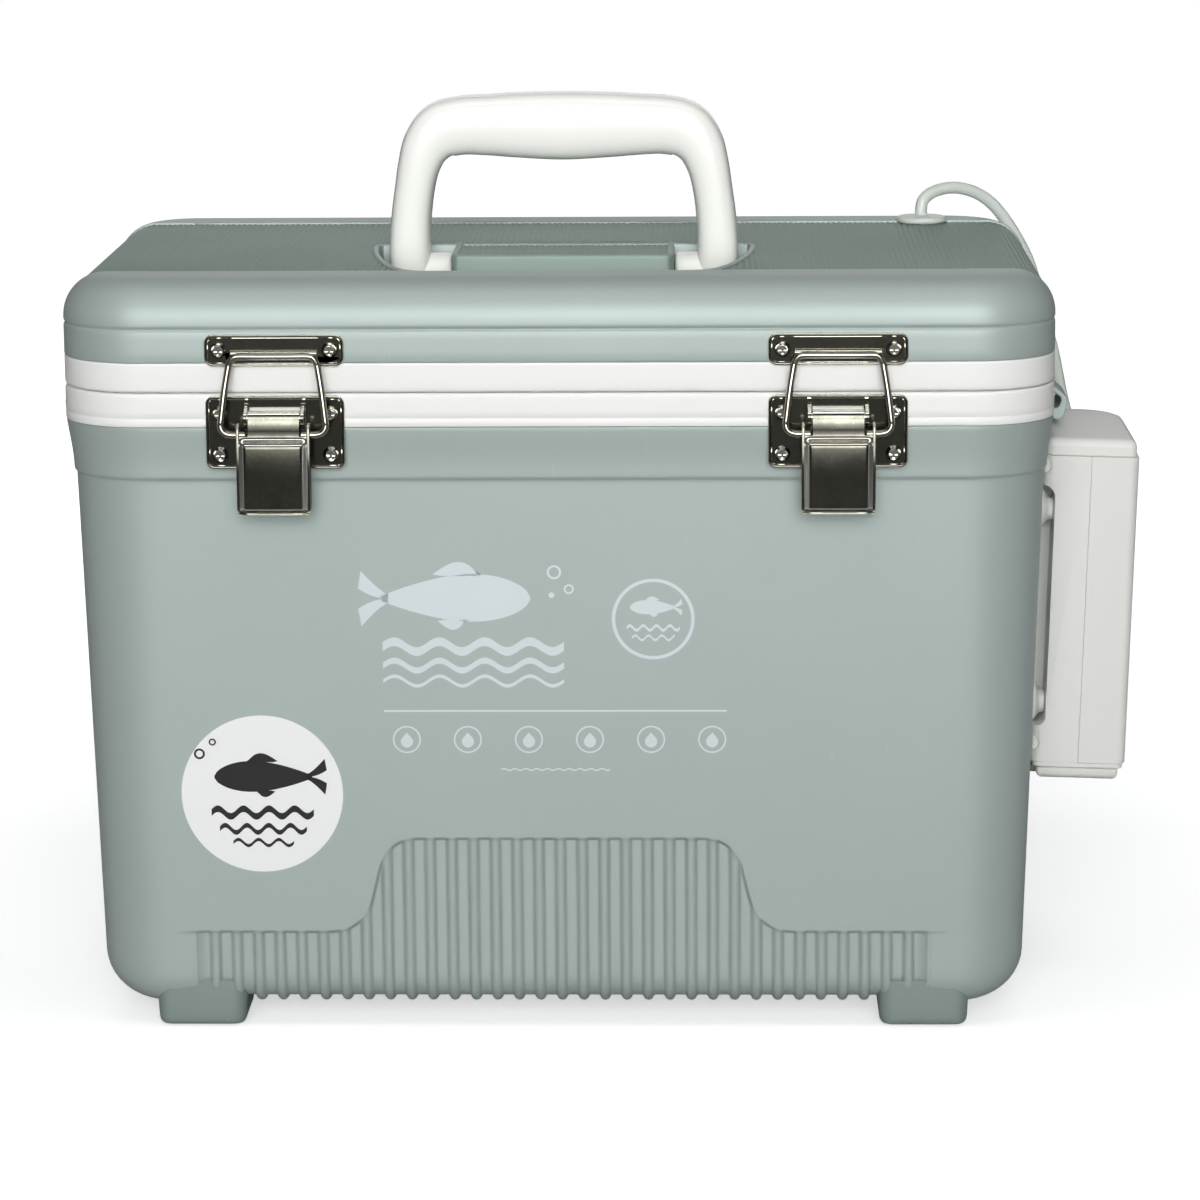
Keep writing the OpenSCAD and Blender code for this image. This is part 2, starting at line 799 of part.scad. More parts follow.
module latch_base() {
    difference() {
        union() {
            plate(plate_w, base_h, 3, base_z);
            for (sx = [-1, 1])
                translate([sx * (ear_in + ear_t / 2), 0, 0])
                    rotate([90, 0, 90])
                        linear_extrude(ear_t, center = true)
                            hull() {
                                translate([lever_pin_y, lever_pin_z])
                                    circle(r = 2.6, $fn = 32);
                                translate([-half_d - 1, lever_pin_z - 5])
                                    square([1, 10]);
                            }
        }
        translate([0, -half_d, base_z + base_h - 6.6])
            cube([ear_in * 2 - 1, 8, 4.6], center = true);
        screw_holes(base_screw_z);
        translate([-20, lever_pin_y, lever_pin_z])
            rotate([0, 90, 0])
                cylinder(d = latch_pin_d, h = 40, $fn = 32);
    }
}

module latch_pin() {
    translate([-ear_in - ear_t, lever_pin_y, lever_pin_z])
        rotate([0, 90, 0])
            cylinder(d = latch_pin_d, h = 2 * (ear_in + ear_t), $fn = 32);
}

lever_front = 5.4;
pad_out = 4;
lever_low = 35;
module latch_lever() {
    top = [lever_pin_y, lever_pin_z];
    difference() {
        union() {
            // Curl round the pin
            translate([-curl_half, top[0], top[1]])
                rotate([0, 90, 0])
                    cylinder(r = curl_r, h = 2 * curl_half, $fn = 40);
            // Web from the curl down to the pad
            translate([-curl_half, 0, 0])
                rotate([90, 0, 90])
                    linear_extrude(2 * curl_half)
                        polygon([
                            [top[0] - curl_r, top[1] + 0.6], [top[0] - lever_front, top[1] - 6],
                            [top[0] - lever_front, top[1] - 10], [top[0] - lever_front + 1.4, top[1] - 10],
                            [top[0] - lever_front + 1.4, top[1] - 6.6], [top[0] - 1.5, top[1] - 1]
                        ]);
            // Pad that the thumb lifts, over its full width
            translate([-cheek_out, 0, 0])
                rotate([90, 0, 90])
                    linear_extrude(lever_w)
                        polygon([
                            [top[0] - lever_front, top[1] - 6], [top[0] - lever_front - pad_out, top[1] - 9.4],
                            [top[0] - lever_front - pad_out, top[1] - lever_low + 3],
                            [top[0] - lever_front - 2, top[1] - lever_low + 1.4],
                            [top[0] - lever_front - 2, top[1] - lever_low],
                            [top[0] - lever_front, top[1] - lever_low],
                            [top[0] - lever_front + 1, top[1] - lever_low + 3],
                            [top[0] - lever_front + 1, top[1] - 6]
                        ]);
            // Cheeks that carry the ends of the bail
            for (sx = [-1, 1])
                translate([sx * (cheek_out - cheek_t / 2), 0, 0])
                    rotate([90, 0, 90])
                        linear_extrude(cheek_t, center = true)
                            polygon([
                                [top[0] - lever_front - 1, top[1] - 1.6], [top[0] - 1, top[1] - 1.6],
                                [top[0] - 1, top[1] - 12], [top[0] - 3, top[1] - lever_low + 4],
                                [top[0] - lever_front - 1, top[1] - lever_low + 1]
                            ]);
        }
        // Hollow behind the pad
        translate([-cheek_out + cheek_t, 0, 0])
            rotate([90, 0, 90])
                linear_extrude(lever_w - 2 * cheek_t)
                    polygon([
                        [top[0] - lever_front + 2, top[1] - 8.6],
                        [top[0] - lever_front - 0.2, top[1] - 8.6],
                        [top[0] - lever_front - pad_out + 1.2, top[1] - 10.6],
                        [top[0] - lever_front - pad_out + 1.2, top[1] - lever_low + 4],
                        [top[0] - lever_front + 2, top[1] - lever_low + 4]
                    ]);
        translate([-20, top[0], top[1]])
            rotate([0, 90, 0])
                cylinder(d = latch_pin_d + latch_gap, h = 40, $fn = 32);
        for (sx = [-1, 1])
            translate([sx * (cheek_out - cheek_t - 0.4), bail_y, bail_z])
                rotate([0, sx * 90, 0])
                    cylinder(d = wire_d + latch_gap, h = cheek_t + 1, $fn = 32);
    }
}

bail_top_z = strike_z + 4.3;
strike_lip_r = 2.9;
strike_lip_y = -half_d - 1;
bail_bar_y = strike_lip_y - strike_lip_r - latch_gap - wire_d / 2;
bail_low_half = 19.4;
bail_top_half = 15.8;
// Route of the bail's wire, from its left end in the lever's cheek over the bar to its right end
bail_bend = 3.2;
function bail_half() = [
    [cheek_out - cheek_t, bail_y, bail_z],
    [bail_low_half - bail_bend, bail_y, bail_z],
    [bail_low_half - bail_bend * 0.4, bail_y, bail_z + bail_bend * 0.3],
    [bail_low_half, bail_y, bail_z + bail_bend],
    [bail_low_half - 0.4, bail_y, bail_z + bail_bend * 1.8],
    [bail_top_half + 0.3, bail_bar_y, bail_top_z - bail_bend],
    [bail_top_half - bail_bend * 0.4, bail_bar_y, bail_top_z - bail_bend * 0.3],
    [bail_top_half - bail_bend, bail_bar_y, bail_top_z]
];
module latch_bail() {
    half = bail_half();
    left = [for (p = half) [-p[0], p[1], p[2]]];
    right = [for (i = [len(half) - 1:-1:0]) half[i]];
    tube(concat(left, right), wire_d, [0, 1, 0]);
    for (sx = [-1, 1])
        translate([sx * (cheek_out - cheek_t), bail_y, bail_z])
            rotate([0, sx * 90, 0])
                cylinder(d = wire_d + 0.06, h = 4, $fn = 32);
}

module latch_strike() {
    difference() {
        union() {
            plate(plate_w, strike_h, 3.3, strike_z);
            translate([0, strike_lip_y, strike_z + 3.2])
                rotate([0, 90, 0])
                    cylinder(r = strike_lip_r, h = 32, center = true, $fn = 40);
        }
        translate([-40, -half_d, strike_z - 6])
            cube([80, 12, 30]);
        screw_holes([strike_screw_z]);
    }
}

module latch_screws(zs) {
    for (sx = [-1, 1])
    for (sy = [-1, 1])
    for (z = zs)
        translate([sx * latch_x + sy * screw_span / 2, -half_d - sheet_t, z])
            rotate([90, 0, 0])
                screw(screw_l);
}

module latch_base_screws() {
    color(chrome)
    latch_screws(base_screw_z);
}

module latch_strike_screws() {
    color(chrome)
    latch_screws([strike_screw_z]);
}

// Air line
grommet_x = half_w - grommet_side;
grommet_y = half_d - grommet_back;
neck_d = 9;
flange_t = 2.9;
grommet_top = top_z - panel_dip + flange_t;
grommet_low = split_z - plug_h - 3;
air_bore = 2.6;
module hose_grommet() {
    color(rubber)
    translate([grommet_x, grommet_y, 0])
        difference() {
            union() {
                translate([0, 0, grommet_low])
                    cylinder(d = neck_d - 0.1, h = grommet_top - grommet_low - 0.5, $fn = 48);
                translate([0, 0, grommet_low])
                    cylinder(d = neck_d + 4, h = 2.8, $fn = 48);
                translate([0, 0, top_z - panel_dip])
                    cylinder(d = grommet_d, h = flange_t - 1, $fn = 64);
                translate([0, 0, grommet_top - 1])
                    cylinder(d1 = grommet_d, d2 = grommet_d - 2, h = 1, $fn = 64);
            }
            translate([0, 0, grommet_low - 1])
                cylinder(d = air_bore, h = 80, $fn = 24);
        }
}

// The pump's air axis, in the pump's own frame, and where its outlet ends
pump_x0 = half_w - wall_in(pump_z) + stand_off / cos(draft);
air_x = 22;
air_z = 114;
spigot_l = 2.5;
outlet_x = pump_x0 + air_x * cos(draft) + air_z * sin(draft);
outlet_y = pump_d / 2 - pump_front + spigot_l;
outlet_z = pump_z + air_z * cos(draft) - air_x * sin(draft);
// Points of the hoses, measured from the lid's top rear right corner, from the pump's outlet,
// from the grommet's lower end and from the air stone's place on the cavity's floor
function from_lid(x, y, z) = [half_w + x, half_d + y, top_z + z];
function from_outlet(x, y, z) = [outlet_x + x, outlet_y + y, outlet_z + z];
function from_grommet(x, y, z) = [grommet_x + x, grommet_y + y, grommet_low + z];
function from_floor(x, y, z) = [x, y, cavity_floor + hose_rest + z];
hose_rest = 9.5;
stone_x = 52;
// Route of the hose outside, from the grommet to the pump's outlet
hose_out = [
    [grommet_x, grommet_y, grommet_top], [grommet_x, grommet_y, grommet_top + 2.4],
    from_lid(-41.7, -30.4, 7.9), from_lid(-38.5, -27.9, 10.6),
    from_lid(-33.2, -24.3, 12.1), from_lid(-27.4, -21, 12.1), from_lid(-21.4, -18, 10.5),
    from_lid(-16, -15.7, 7.6), from_lid(-11.2, -13.9, 3.4), from_lid(-6.6, -12.5, -2.4),
    from_lid(-2, -11.5, -9.6), from_lid(2.3, -10.8, -17.8), from_lid(5.4, -10.3, -26.4),
    from_lid(8, -10.6, -36), from_lid(10.6, -12.6, -46), from_lid(13.4, -17.4, -56.6),
    from_outlet(-5.1, 41.6, 19.2), from_outlet(-3.1, 33.1, 10.7), from_outlet(-1.1, 22.6, 4.2),
    from_outlet(-0.1, 13.1, 0.9), from_outlet(0, 6, 0), from_outlet(0, 0, 0)
];
// Route of the hose inside, from the grommet to the air stone on the cavity's floor
hose_in = [
    from_grommet(0, 0, 0), from_grommet(0, 0, -5.2), from_grommet(-0.1, -1, -15.2),
    from_grommet(-1, -4, -29.2), from_grommet(-3, -9, -45.2), from_grommet(-6, -16, -63.2),
    from_grommet(-10, -24, -81.2), from_grommet(-15, -33, -99.2), from_floor(stone_x + 71, 39.5, 78.5),
    from_floor(stone_x + 65, 30, 60.5), from_floor(stone_x + 58.5, 21, 43.5), from_floor(stone_x + 51, 13, 29),
    from_floor(stone_x + 42, 6.5, 16.5), from_floor(stone_x + 32, 2.5, 7), from_floor(stone_x + 21, 0.5, 1.5),
    from_floor(stone_x + 10, 0, 0), from_floor(stone_x, 0, 0)
];
hose_sides = 10;
function unit(v) = v / norm(v);
function tangent(p, i) = unit(p[min(i + 1, len(p) - 1)] - p[max(i - 1, 0)]);
// A tube swept along points; its section is turned so that it never twists past a fixed side
module tube(path, d, side) {
    n = len(path);
    points = [
        for (i = [0:n - 1])
        let (t = tangent(path, i))
        let (u = unit(cross(t, side)))
        let (v = cross(t, u))
        for (k = [0:hose_sides - 1])
        let (a = 360 * k / hose_sides)
        path[i] + (u * cos(a) + v * sin(a)) * d / 2
    ];
    sides = [
        for (i = [0:n - 2])
        for (k = [0:hose_sides - 1])
        let (a = i * hose_sides + k)
        let (b = i * hose_sides + (k + 1) % hose_sides)
        each [[a, a + hose_sides, b + hose_sides], [a, b + hose_sides, b]]
    ];
    first = [for (k = [0:hose_sides - 1]) k];
    last = [for (k = [hose_sides - 1:-1:0]) (n - 1) * hose_sides + k];
    polyhedron(points = points, faces = concat([first], sides, [last]));
}

module air_hose_outer() {
    color(rubber)
    tube(hose_out, hose_d, [1, -0.6, 0]);
}

module air_hose_inner() {
    color(rubber)
    tube(hose_in, hose_d, [0.6, -1, 0]);
}

stone_end = hose_in[len(hose_in) - 1];
module air_stone() {
    color("#8d99a6")
    translate(stone_end)
        rotate([0, -90, 0])
            difference() {
                union() {
                    cylinder(d = hose_d - 1, h = 5, $fn = 32);
                    translate([0, 0, 4])
                        cylinder(d1 = stone_d - 4, d2 = stone_d, h = 2, $fn = 48);
                    translate([0, 0, 6])
                        cylinder(d = stone_d, h = stone_l - 8, $fn = 48);
                    translate([0, 0, stone_l - 2])
                        cylinder(d1 = stone_d, d2 = stone_d - 4, h = 2, $fn = 48);
                }
                translate([0, 0, -1])
                    cylinder(d = air_bore, h = stone_l - 4, $fn = 24);
            }
}

// Air pump. Drawn about its own middle, then leaned against the drafted wall:
// x outwards from the pump's wall side, y to the back, z up from its underside.
module at_pump() {
    translate([pump_x0, -pump_front, pump_z])
        rotate([0, draft, 0])
            children();
}
pump_r = 4;
pump_rear_r = 18;
half_t = pump_t / 2;
half_y = pump_d / 2;
body_top = pump_h - cap_h;
// Plan of the pump, drawn in by inset: three small corners, and a large one at the outer back
module pump_outline(inset) {
    offset(delta = -inset)
        hull() {
            translate([pump_r, -half_y + pump_r])
                circle(r = pump_r, $fn = 32);
            translate([pump_t - pump_r, -half_y + pump_r])
                circle(r = pump_r, $fn = 32);
            translate([pump_r, half_y - pump_r])
                circle(r = pump_r, $fn = 32);
            translate([pump_t - pump_rear_r, half_y - pump_rear_r])
                circle(r = pump_rear_r, $fn = 96);
        }
}

// The two shells meet in the middle, so each is the whole case cut at x = half_t
module pump_case() {
    difference() {
        translate([0, 0, foot_cap_h])
            linear_extrude(body_top - foot_cap_h)
                pump_outline(0);
        translate([0, 0, foot_cap_h - 1])
            linear_extrude(pump_h)
                pump_outline(pump_wall);
    }
}

recess_low = 21.3;
recess_high = 116.5;
recess_in = 5;
recess_r = 3.6;
recess_back = 19 - half_y;
// Two shallow round notches by the ends of the recess
notch_low = 14.5;
notch_high = 124;
notch_x = 0.4;
notch_d = 5.6;
notch_deep = 1.7;
screw_low = 15;
screw_y = [-half_y + 6.5, half_y - 6.5];
screw_high = body_top - 5;
motor_d = 20;
motor_l = 25;
motor_y = -30;
cradle_t = 2;
// Places of the four case screws, as [y, z, where the boss ends in the wall]
boss_front = pump_t - 1.2;
boss_rear = pump_t - 8;
case_screws = [
    [screw_y[0], screw_low, boss_front], [screw_y[1], screw_low, boss_rear],
    [screw_y[0], screw_high, boss_front], [screw_y[1], screw_high, boss_rear]
];
module pump_wall_shell() {
    color(white_colour)
    at_pump()
        difference() {
            union() {
                intersection() {
                    pump_case();
                    translate([-1, -pump_d, 0])
                        cube([half_t + 1 - 0.1, 2 * pump_d, pump_h]);
                }
                translate([pump_wall, -half_y + pump_wall - 0.5, recess_low - 2])
                    cube([recess_in, pump_d - 2 * pump_wall + 1, recess_high - recess_low + 4]);
                for (y = [motor_y + 4, motor_y + motor_l - 7])
                    translate([pump_wall + 1, y, air_z - 12])
                        cube([air_x - pump_wall - 4, cradle_t, 24]);
            }
            translate([0, recess_back, 0])
                rotate([90, 0, 0])
                    linear_extrude(pump_d)
                        hull() {
                            translate([-2, recess_low])
                                square([1, recess_high - recess_low]);
                            translate([recess_in - recess_r, recess_low + recess_r])
                                circle(r = recess_r, $fn = 48);
                            translate([0, recess_high - recess_in])
                                circle(r = recess_in, $fn = 64);
                        }
            translate([air_x, motor_y - 1, air_z])
                rotate([-90, 0, 0])
                    cylinder(d = motor_d + 0.4, h = motor_l + 2, $fn = 64);
            for (c = case_screws)
                translate([-1, c[0], c[1]])
                    rotate([0, 90, 0])
                        cylinder(d = 3.2, h = half_t + 2, $fn = 24);
            for (z = [mount_low, mount_high])
                translate([-1, mount_y, z])
                    rotate([0, 90, 0])
                        cylinder(d = screw_d + 0.4, h = 12, $fn = 24);
            for (z = [notch_low, notch_high])
                translate([notch_x, notch_deep - half_y, z])
                    rotate([90, 0, 0])
                        cylinder(d = notch_d, h = 8, $fn = 32);
        }
}

button_z = 88;
lens_z = 72;
port_z = 28;
port_w = 12;
port_h = 8;
lens_d = 4.5;
barb_root_d = 6.2;
module pump_outer_shell() {
    color(white_colour)
    at_pump()
        difference() {
            union() {
                intersection() {
                    pump_case();
                    translate([half_t, -pump_d, 0])
                        cube([pump_t, 2 * pump_d, pump_h]);
                }
                for (c = case_screws)
                    translate([half_t + 0.4, c[0], c[1]])
                        rotate([0, 90, 0])
                            cylinder(d = 6, h = c[2] - half_t - 0.4, $fn = 24);
            }
            translate([pump_t - 6, 0, button_z])
                rotate([0, 90, 0])
                    cylinder(d = button_d + 0.8, h = 10, $fn = 48);
            translate([pump_t - 6, 0, lens_z])
                rotate([0, 90, 0])
                    cylinder(d = lens_d, h = 10, $fn = 32);
            translate([pump_t - 6, -port_w / 2, port_z - port_h / 2])
                cube([10, port_w, port_h]);
            cover_knuckle(knuckle_w + 0.6, cover_knuckle_d + 0.5);
            translate([air_x, half_y - 6, air_z])
                rotate([-90, 0, 0])
                    cylinder(d = barb_root_d, h = 12, $fn = 32);
            for (c = case_screws)
                translate([half_t - 1, c[0], c[1]])
                    rotate([0, 90, 0])
                        cylinder(d = 2.6, h = 9.5, $fn = 24);
        }
}

// Heights on the top cap and how far its rounded side stands in there
cap_round = [[cap_h - 3.2, 1.1], [cap_h - 1.7, 1.5], [cap_h - 0.6, 2.5], [cap_h, 4.2]];
module pump_top_cap() {
    color(white_colour)
    at_pump()
        difference() {
            hull()
                for (level = cap_round)
                    translate([0, 0, body_top])
                        linear_extrude(level[0])
                            pump_outline(level[1]);
            translate([0, 0, body_top - 1])
                linear_extrude(cap_h + 1 - pump_wall)
                    pump_outline(pump_wall + 0.3);
        }
}

foot_step = 2.3;
module pump_bottom_cap() {
    color(white_colour)
    at_pump()
        union() {
            hull() {
                linear_extrude(foot_cap_h - foot_step)
                    pump_outline(4.4);
                translate([0, 0, 0.8])
                    linear_extrude(foot_cap_h - foot_step - 0.8)
                        pump_outline(3.2);
                translate([0, 0, 2])
                    linear_extrude(foot_cap_h - foot_step - 2)
                        pump_outline(2.6);
            }
            translate([0, 0, foot_cap_h - foot_step])
                linear_extrude(foot_step)
                    pump_outline(0.9);
            translate([0, 0, foot_cap_h - 1])
                linear_extrude(4)
                    pump_outline(pump_wall + 0.3);
        }
}

// Standoffs hold the pump's back recess away from the wall
pad_d = 15;
pad_end_d = 9;
module pump_standoffs() {
    color("#f2f2f0")
    at_pump()
        for (z = [mount_low, mount_high])
            translate([-stand_off, mount_y, z])
                rotate([0, 90, 0])
                    difference() {
                        union() {
                            cylinder(d = pad_d, h = stand_off + 1, $fn = 48);
                            translate([0, 0, stand_off + 1])
                                cylinder(d1 = pad_d, d2 = pad_end_d, h = 2, $fn = 48);
                            translate([0, 0, stand_off + 3])
                                cylinder(d = pad_end_d, h = recess_in - 3, $fn = 48);
                        }
                        translate([0, 0, -1])
                            cylinder(d = screw_d + 0.2, h = 40, $fn = 24);
                    }
}

module pump_mount_screws() {
    color(chrome)
    at_pump()
        for (z = [mount_low, mount_high])
            translate([recess_in + pump_wall, mount_y, z])
                rotate([0, 90, 0])
                    screw(recess_in + pump_wall + stand_off + wall + 5);
}

// Hook under the pump that its bottom cap stands on
hook_reach = 14;
module pump_bracket() {
    color("#b9b39a")
    at_pump()
        rotate([90, 0, 0])
            linear_extrude(30, center = true)
                polygon([
                    [-stand_off, -3], [-stand_off, 10], [-stand_off + 2, 10], [-stand_off + 2, -0.1],
                    [hook_reach, -0.1], [hook_reach - 2, -3]
                ]);
}

// Inside the pump, on one axis: motor, cam, diaphragm, head and outlet
shaft_d = 2;
module on_air_axis(y) {
    translate([air_x, y, air_z])
        rotate([-90, 0, 0])
            children();
}

module pump_motor() {
    color("#8a8f94")
    at_pump()
        on_air_axis(motor_y)
            union() {
                cylinder(d = motor_d, h = motor_l, $fn = 48);
                translate([0, 0, motor_l])
                    cylinder(d = 6, h = 1.5, $fn = 32);
                translate([0, 0, motor_l + 1.5])
                    cylinder(d = shaft_d, h = 7, $fn = 24);
            }
}

cam_throw = 1.5;
cam_d = 8;
module pump_eccentric() {
    color("#d9c9a0")
    at_pump()
        on_air_axis(motor_y + motor_l + 2.2)
            difference() {
                translate([cam_throw, 0, 0])
                    cylinder(d = cam_d, h = 5, $fn = 40);
                translate([0, 0, -1])
                    cylinder(d = shaft_d + 0.2, h = 8, $fn = 24);
            }
}

diaphragm_y = motor_y + motor_l + 8.9;
pump_head_d = 22;
pump_head_l = 20;
module pump_diaphragm() {
    color("#30343a")
    at_pump()
        on_air_axis(diaphragm_y)
            union() {
                cylinder(d1 = 9, d2 = 12, h = 2, $fn = 40);
                translate([0, 0, 2])
                    cylinder(d = pump_head_d - 2, h = 2, $fn = 48);
            }
}

module pump_head() {
    color("#e3e3df")
    at_pump()
        on_air_axis(diaphragm_y + 4)
            difference() {
                cylinder(d = pump_head_d, h = pump_head_l, $fn = 48);
                translate([0, 0, -1])
                    cylinder(d = air_bore, h = 60, $fn = 24);
            }
}

// Outlet from the head through the back of the case, to the end of the hose
module pump_outlet_barb() {
    barb_y = diaphragm_y + 4 + pump_head_l;
    color(white_colour)
    at_pump()
        on_air_axis(barb_y)
            difference() {
                union() {
                    cylinder(d = barb_root_d - 0.1, h = half_y + spigot_l - barb_y, $fn = 32);
                    translate([0, 0, half_y + 0.1 - barb_y])
                        cylinder(d = barb_root_d + 3, h = 1.2, $fn = 32);
                }
                translate([0, 0, -1])
                    cylinder(d = air_bore, h = 60, $fn = 24);
            }
}

battery_d = 18.4;
battery_l = 65;
stack_z = foot_cap_h + 3.3;
module pump_battery() {
    color("#5c7fa8")
    at_pump()
        for (sy = [-1, 1])
            translate([recess_in + pump_wall + 0.3 + battery_d / 2, sy * 12, stack_z])
                union() {
                    cylinder(d = battery_d, h = battery_l, $fn = 48);
                    translate([0, 0, battery_l])
                        cylinder(d = 6, h = 1.2, $fn = 32);
                }
}

board_t = 1.6;
board_x = pump_t - pump_wall - 7;
board_face = board_x + board_t;
module pump_board() {
    color("#2f6b45")
    at_pump()
        translate([board_x, -14, stack_z])
            cube([board_t, 28, 90]);
}

button_proud = button_travel + 0.4;
module pump_button() {
    color("#cfd3d2")
    at_pump()
        translate([0, 0, button_z])
            rotate([0, 90, 0])
                union() {
                    translate([0, 0, pump_t - pump_wall - 1.6])
                        cylinder(d = button_d + 3, h = 1.2, $fn = 48);
                    translate([0, 0, pump_t - pump_wall - 1])
                        cylinder(d = button_d, h = pump_wall + button_proud, $fn = 48);
                    translate([0, 0, pump_t + button_proud - 1])
                        cylinder(d1 = button_d, d2 = button_d - 2, h = 1, $fn = 48);
                }
}

// Push switch on the board, under the button
module pump_switch() {
    color("#3a3d40")
    at_pump()
        translate([board_face, 0, button_z])
            union() {
                translate([0, -3.5, -3.5])
                    cube([1.9, 7, 7]);
                rotate([0, 90, 0])
                    cylinder(d = 3.4, h = 2.4, $fn = 24);
            }
}

module pump_lens() {
    color("#7fd08a")
    at_pump()
        translate([board_face, 0, lens_z])
            rotate([0, 90, 0])
                union() {
                    cylinder(d = lens_d - 0.2, h = pump_t + 0.4 - board_face, $fn = 32);
                    cylinder(d = lens_d + 1.4, h = 2, $fn = 32);
                }
}

module pump_charge_port() {
    color("#60646a")
    at_pump()
        translate([board_face, -4.5, port_z - 1.7])
            difference() {
                cube([pump_t - pump_wall + 0.6 - board_face, 9, 3.4]);
                translate([2, 1, 0.9])
                    cube([10, 7, 1.6]);
            }
}

cover_w = 18;
cover_h = 13;
cover_t = 1.8;
knuckle_w = 10;
cover_knuckle_d = 2;
// The hinge roll along the port cover's lower edge
module cover_knuckle(w, d) {
    translate([pump_t + 0.3, 0, port_z - cover_h / 2])
        rotate([90, 0, 0])
            cylinder(d = d, h = w, center = true, $fn = 32);
}

module pump_port_cover() {
    color("#bfc3c1")
    at_pump()
        translate([pump_t + 0.1, 0, port_z])
            union() {
                rotate([90, 0, 90])
                    linear_extrude(cover_t)
                        offset(r = 2.5)
                            square([cover_w - 5, cover_h - 5], center = true);
                translate([-1.2, -port_w / 2 + 0.5, -port_h / 2 + 0.5])
                    cube([1.3, port_w - 1, port_h - 1]);
                translate([-pump_t - 0.1, 0, -port_z])
                    cover_knuckle(knuckle_w, cover_knuckle_d);
            }
}

module pump_screws() {
    color(chrome)
    at_pump()
        for (c = case_screws)
            translate([2.4, c[0], c[1]])
                rotate([0, -90, 0])
                    union() {
                        cylinder(d = 3, h = 2.2, $fn = 24);
                        translate([0, 0, -half_t - 4])
                            cylinder(d = 2.5, h = half_t + 4.2, $fn = 24);
                    }
}

module each_latch(sx) {
    translate([sx * latch_x, 0, 0])
        children();
}

outer_shell();
inner_liner();
body_insulation();
lid_shell();
lid_liner();
lid_insulation();
lid_gasket();
carry_handle();
handle_pins();
color(nickel) translate([-hinge_x, 0, 0]) hinge_leaf(-1);  // hinge_body_leaf_left
color(nickel) translate([hinge_x, 0, 0]) hinge_leaf(-1);  // hinge_body_leaf_right
color(nickel) translate([-hinge_x, 0, 0]) hinge_leaf(1);  // hinge_lid_leaf_left
color(nickel) translate([hinge_x, 0, 0]) hinge_leaf(1);  // hinge_lid_leaf_right
hinge_pins();
hinge_screws_body();
hinge_screws_lid();
color(nickel) each_latch(-1) latch_base();  // latch_base_left
color(nickel) each_latch(1) latch_base();  // latch_base_right
color(chrome) each_latch(-1) latch_pin();  // latch_pin_left
color(chrome) each_latch(1) latch_pin();  // latch_pin_right
color(nickel) each_latch(-1) latch_lever();  // latch_lever_left
color(nickel) each_latch(1) latch_lever();  // latch_lever_right
color(nickel) each_latch(-1) latch_bail();  // latch_bail_left
color(nickel) each_latch(1) latch_bail();  // latch_bail_right
color(nickel) each_latch(-1) latch_strike();  // latch_strike_left
color(nickel) each_latch(1) latch_strike();  // latch_strike_right
latch_base_screws();
latch_strike_screws();
hose_grommet();
air_hose_outer();
air_hose_inner();
air_stone();
pump_wall_shell();
pump_outer_shell();
pump_top_cap();
pump_bottom_cap();
pump_bracket();
pump_standoffs();
pump_mount_screws();
pump_motor();
pump_eccentric();
pump_diaphragm();
pump_head();
pump_outlet_barb();
pump_battery();
pump_board();
pump_button();
pump_switch();
pump_lens();
pump_charge_port();
pump_port_cover();
pump_screws();
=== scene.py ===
import math

import bmesh
import bpy
import numpy as np
from mathutils import Matrix, Vector


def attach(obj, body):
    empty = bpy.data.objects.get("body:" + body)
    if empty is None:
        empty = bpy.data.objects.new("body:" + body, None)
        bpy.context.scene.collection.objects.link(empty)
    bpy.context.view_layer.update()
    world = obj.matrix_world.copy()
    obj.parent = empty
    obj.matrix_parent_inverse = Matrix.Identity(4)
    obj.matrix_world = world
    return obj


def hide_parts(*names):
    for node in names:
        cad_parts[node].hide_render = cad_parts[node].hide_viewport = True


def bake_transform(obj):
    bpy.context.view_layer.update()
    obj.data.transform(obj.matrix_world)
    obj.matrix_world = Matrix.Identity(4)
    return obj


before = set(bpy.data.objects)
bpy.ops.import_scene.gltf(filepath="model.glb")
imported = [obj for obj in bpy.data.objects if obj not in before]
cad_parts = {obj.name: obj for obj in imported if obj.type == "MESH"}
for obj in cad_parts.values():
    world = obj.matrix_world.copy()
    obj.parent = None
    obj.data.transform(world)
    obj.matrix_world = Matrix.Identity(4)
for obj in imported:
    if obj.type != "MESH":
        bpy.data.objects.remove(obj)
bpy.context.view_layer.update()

# ---- Camera --------------------------------------------------------------------------
# The photograph looks a little down on the front of the bucket from 1.7 m away, with a
# long lens. Its place and angle come from the ridges' vanishing point and the bucket's edges.
MM = 0.001
camera_data = bpy.data.cameras.new("camera")
camera_data.sensor_width = 36.0
camera_data.lens = 4412.0 / 1200.0 * 36.0
camera = bpy.data.objects.new("camera", camera_data)
bpy.context.scene.collection.objects.link(camera)
bpy.context.scene.camera = camera
yaw, pitch, roll = math.radians(1.42), math.radians(90 - 11.30), math.radians(-0.36)


def turn(axis, angle):
    """The 3 x 3 turn about a row axis (0 is X, 1 is Y, 2 is Z) by angle in radians."""
    c, s = math.cos(angle), math.sin(angle)
    a, b = [(1, 2), (2, 0), (0, 1)][axis]
    m = np.eye(3)
    m[a, a] = m[b, b] = c
    m[a, b], m[b, a] = -s, s
    return m


look = turn(2, yaw) @ turn(0, pitch) @ turn(2, roll)
place = np.eye(4)
place[:3, :3] = look
place[:3, 3] = [0.0557, -1.724, 0.4903]
camera.matrix_world = Matrix([list(map(float, row)) for row in place])

# ---- Shared by the pieces: meshes from numpy grids -----------------------------------
# Every new piece is a surface computed as whole arrays in millimetres. These put the
# arrays into a mesh whose place is in its points, in metres, and set smooth shading.


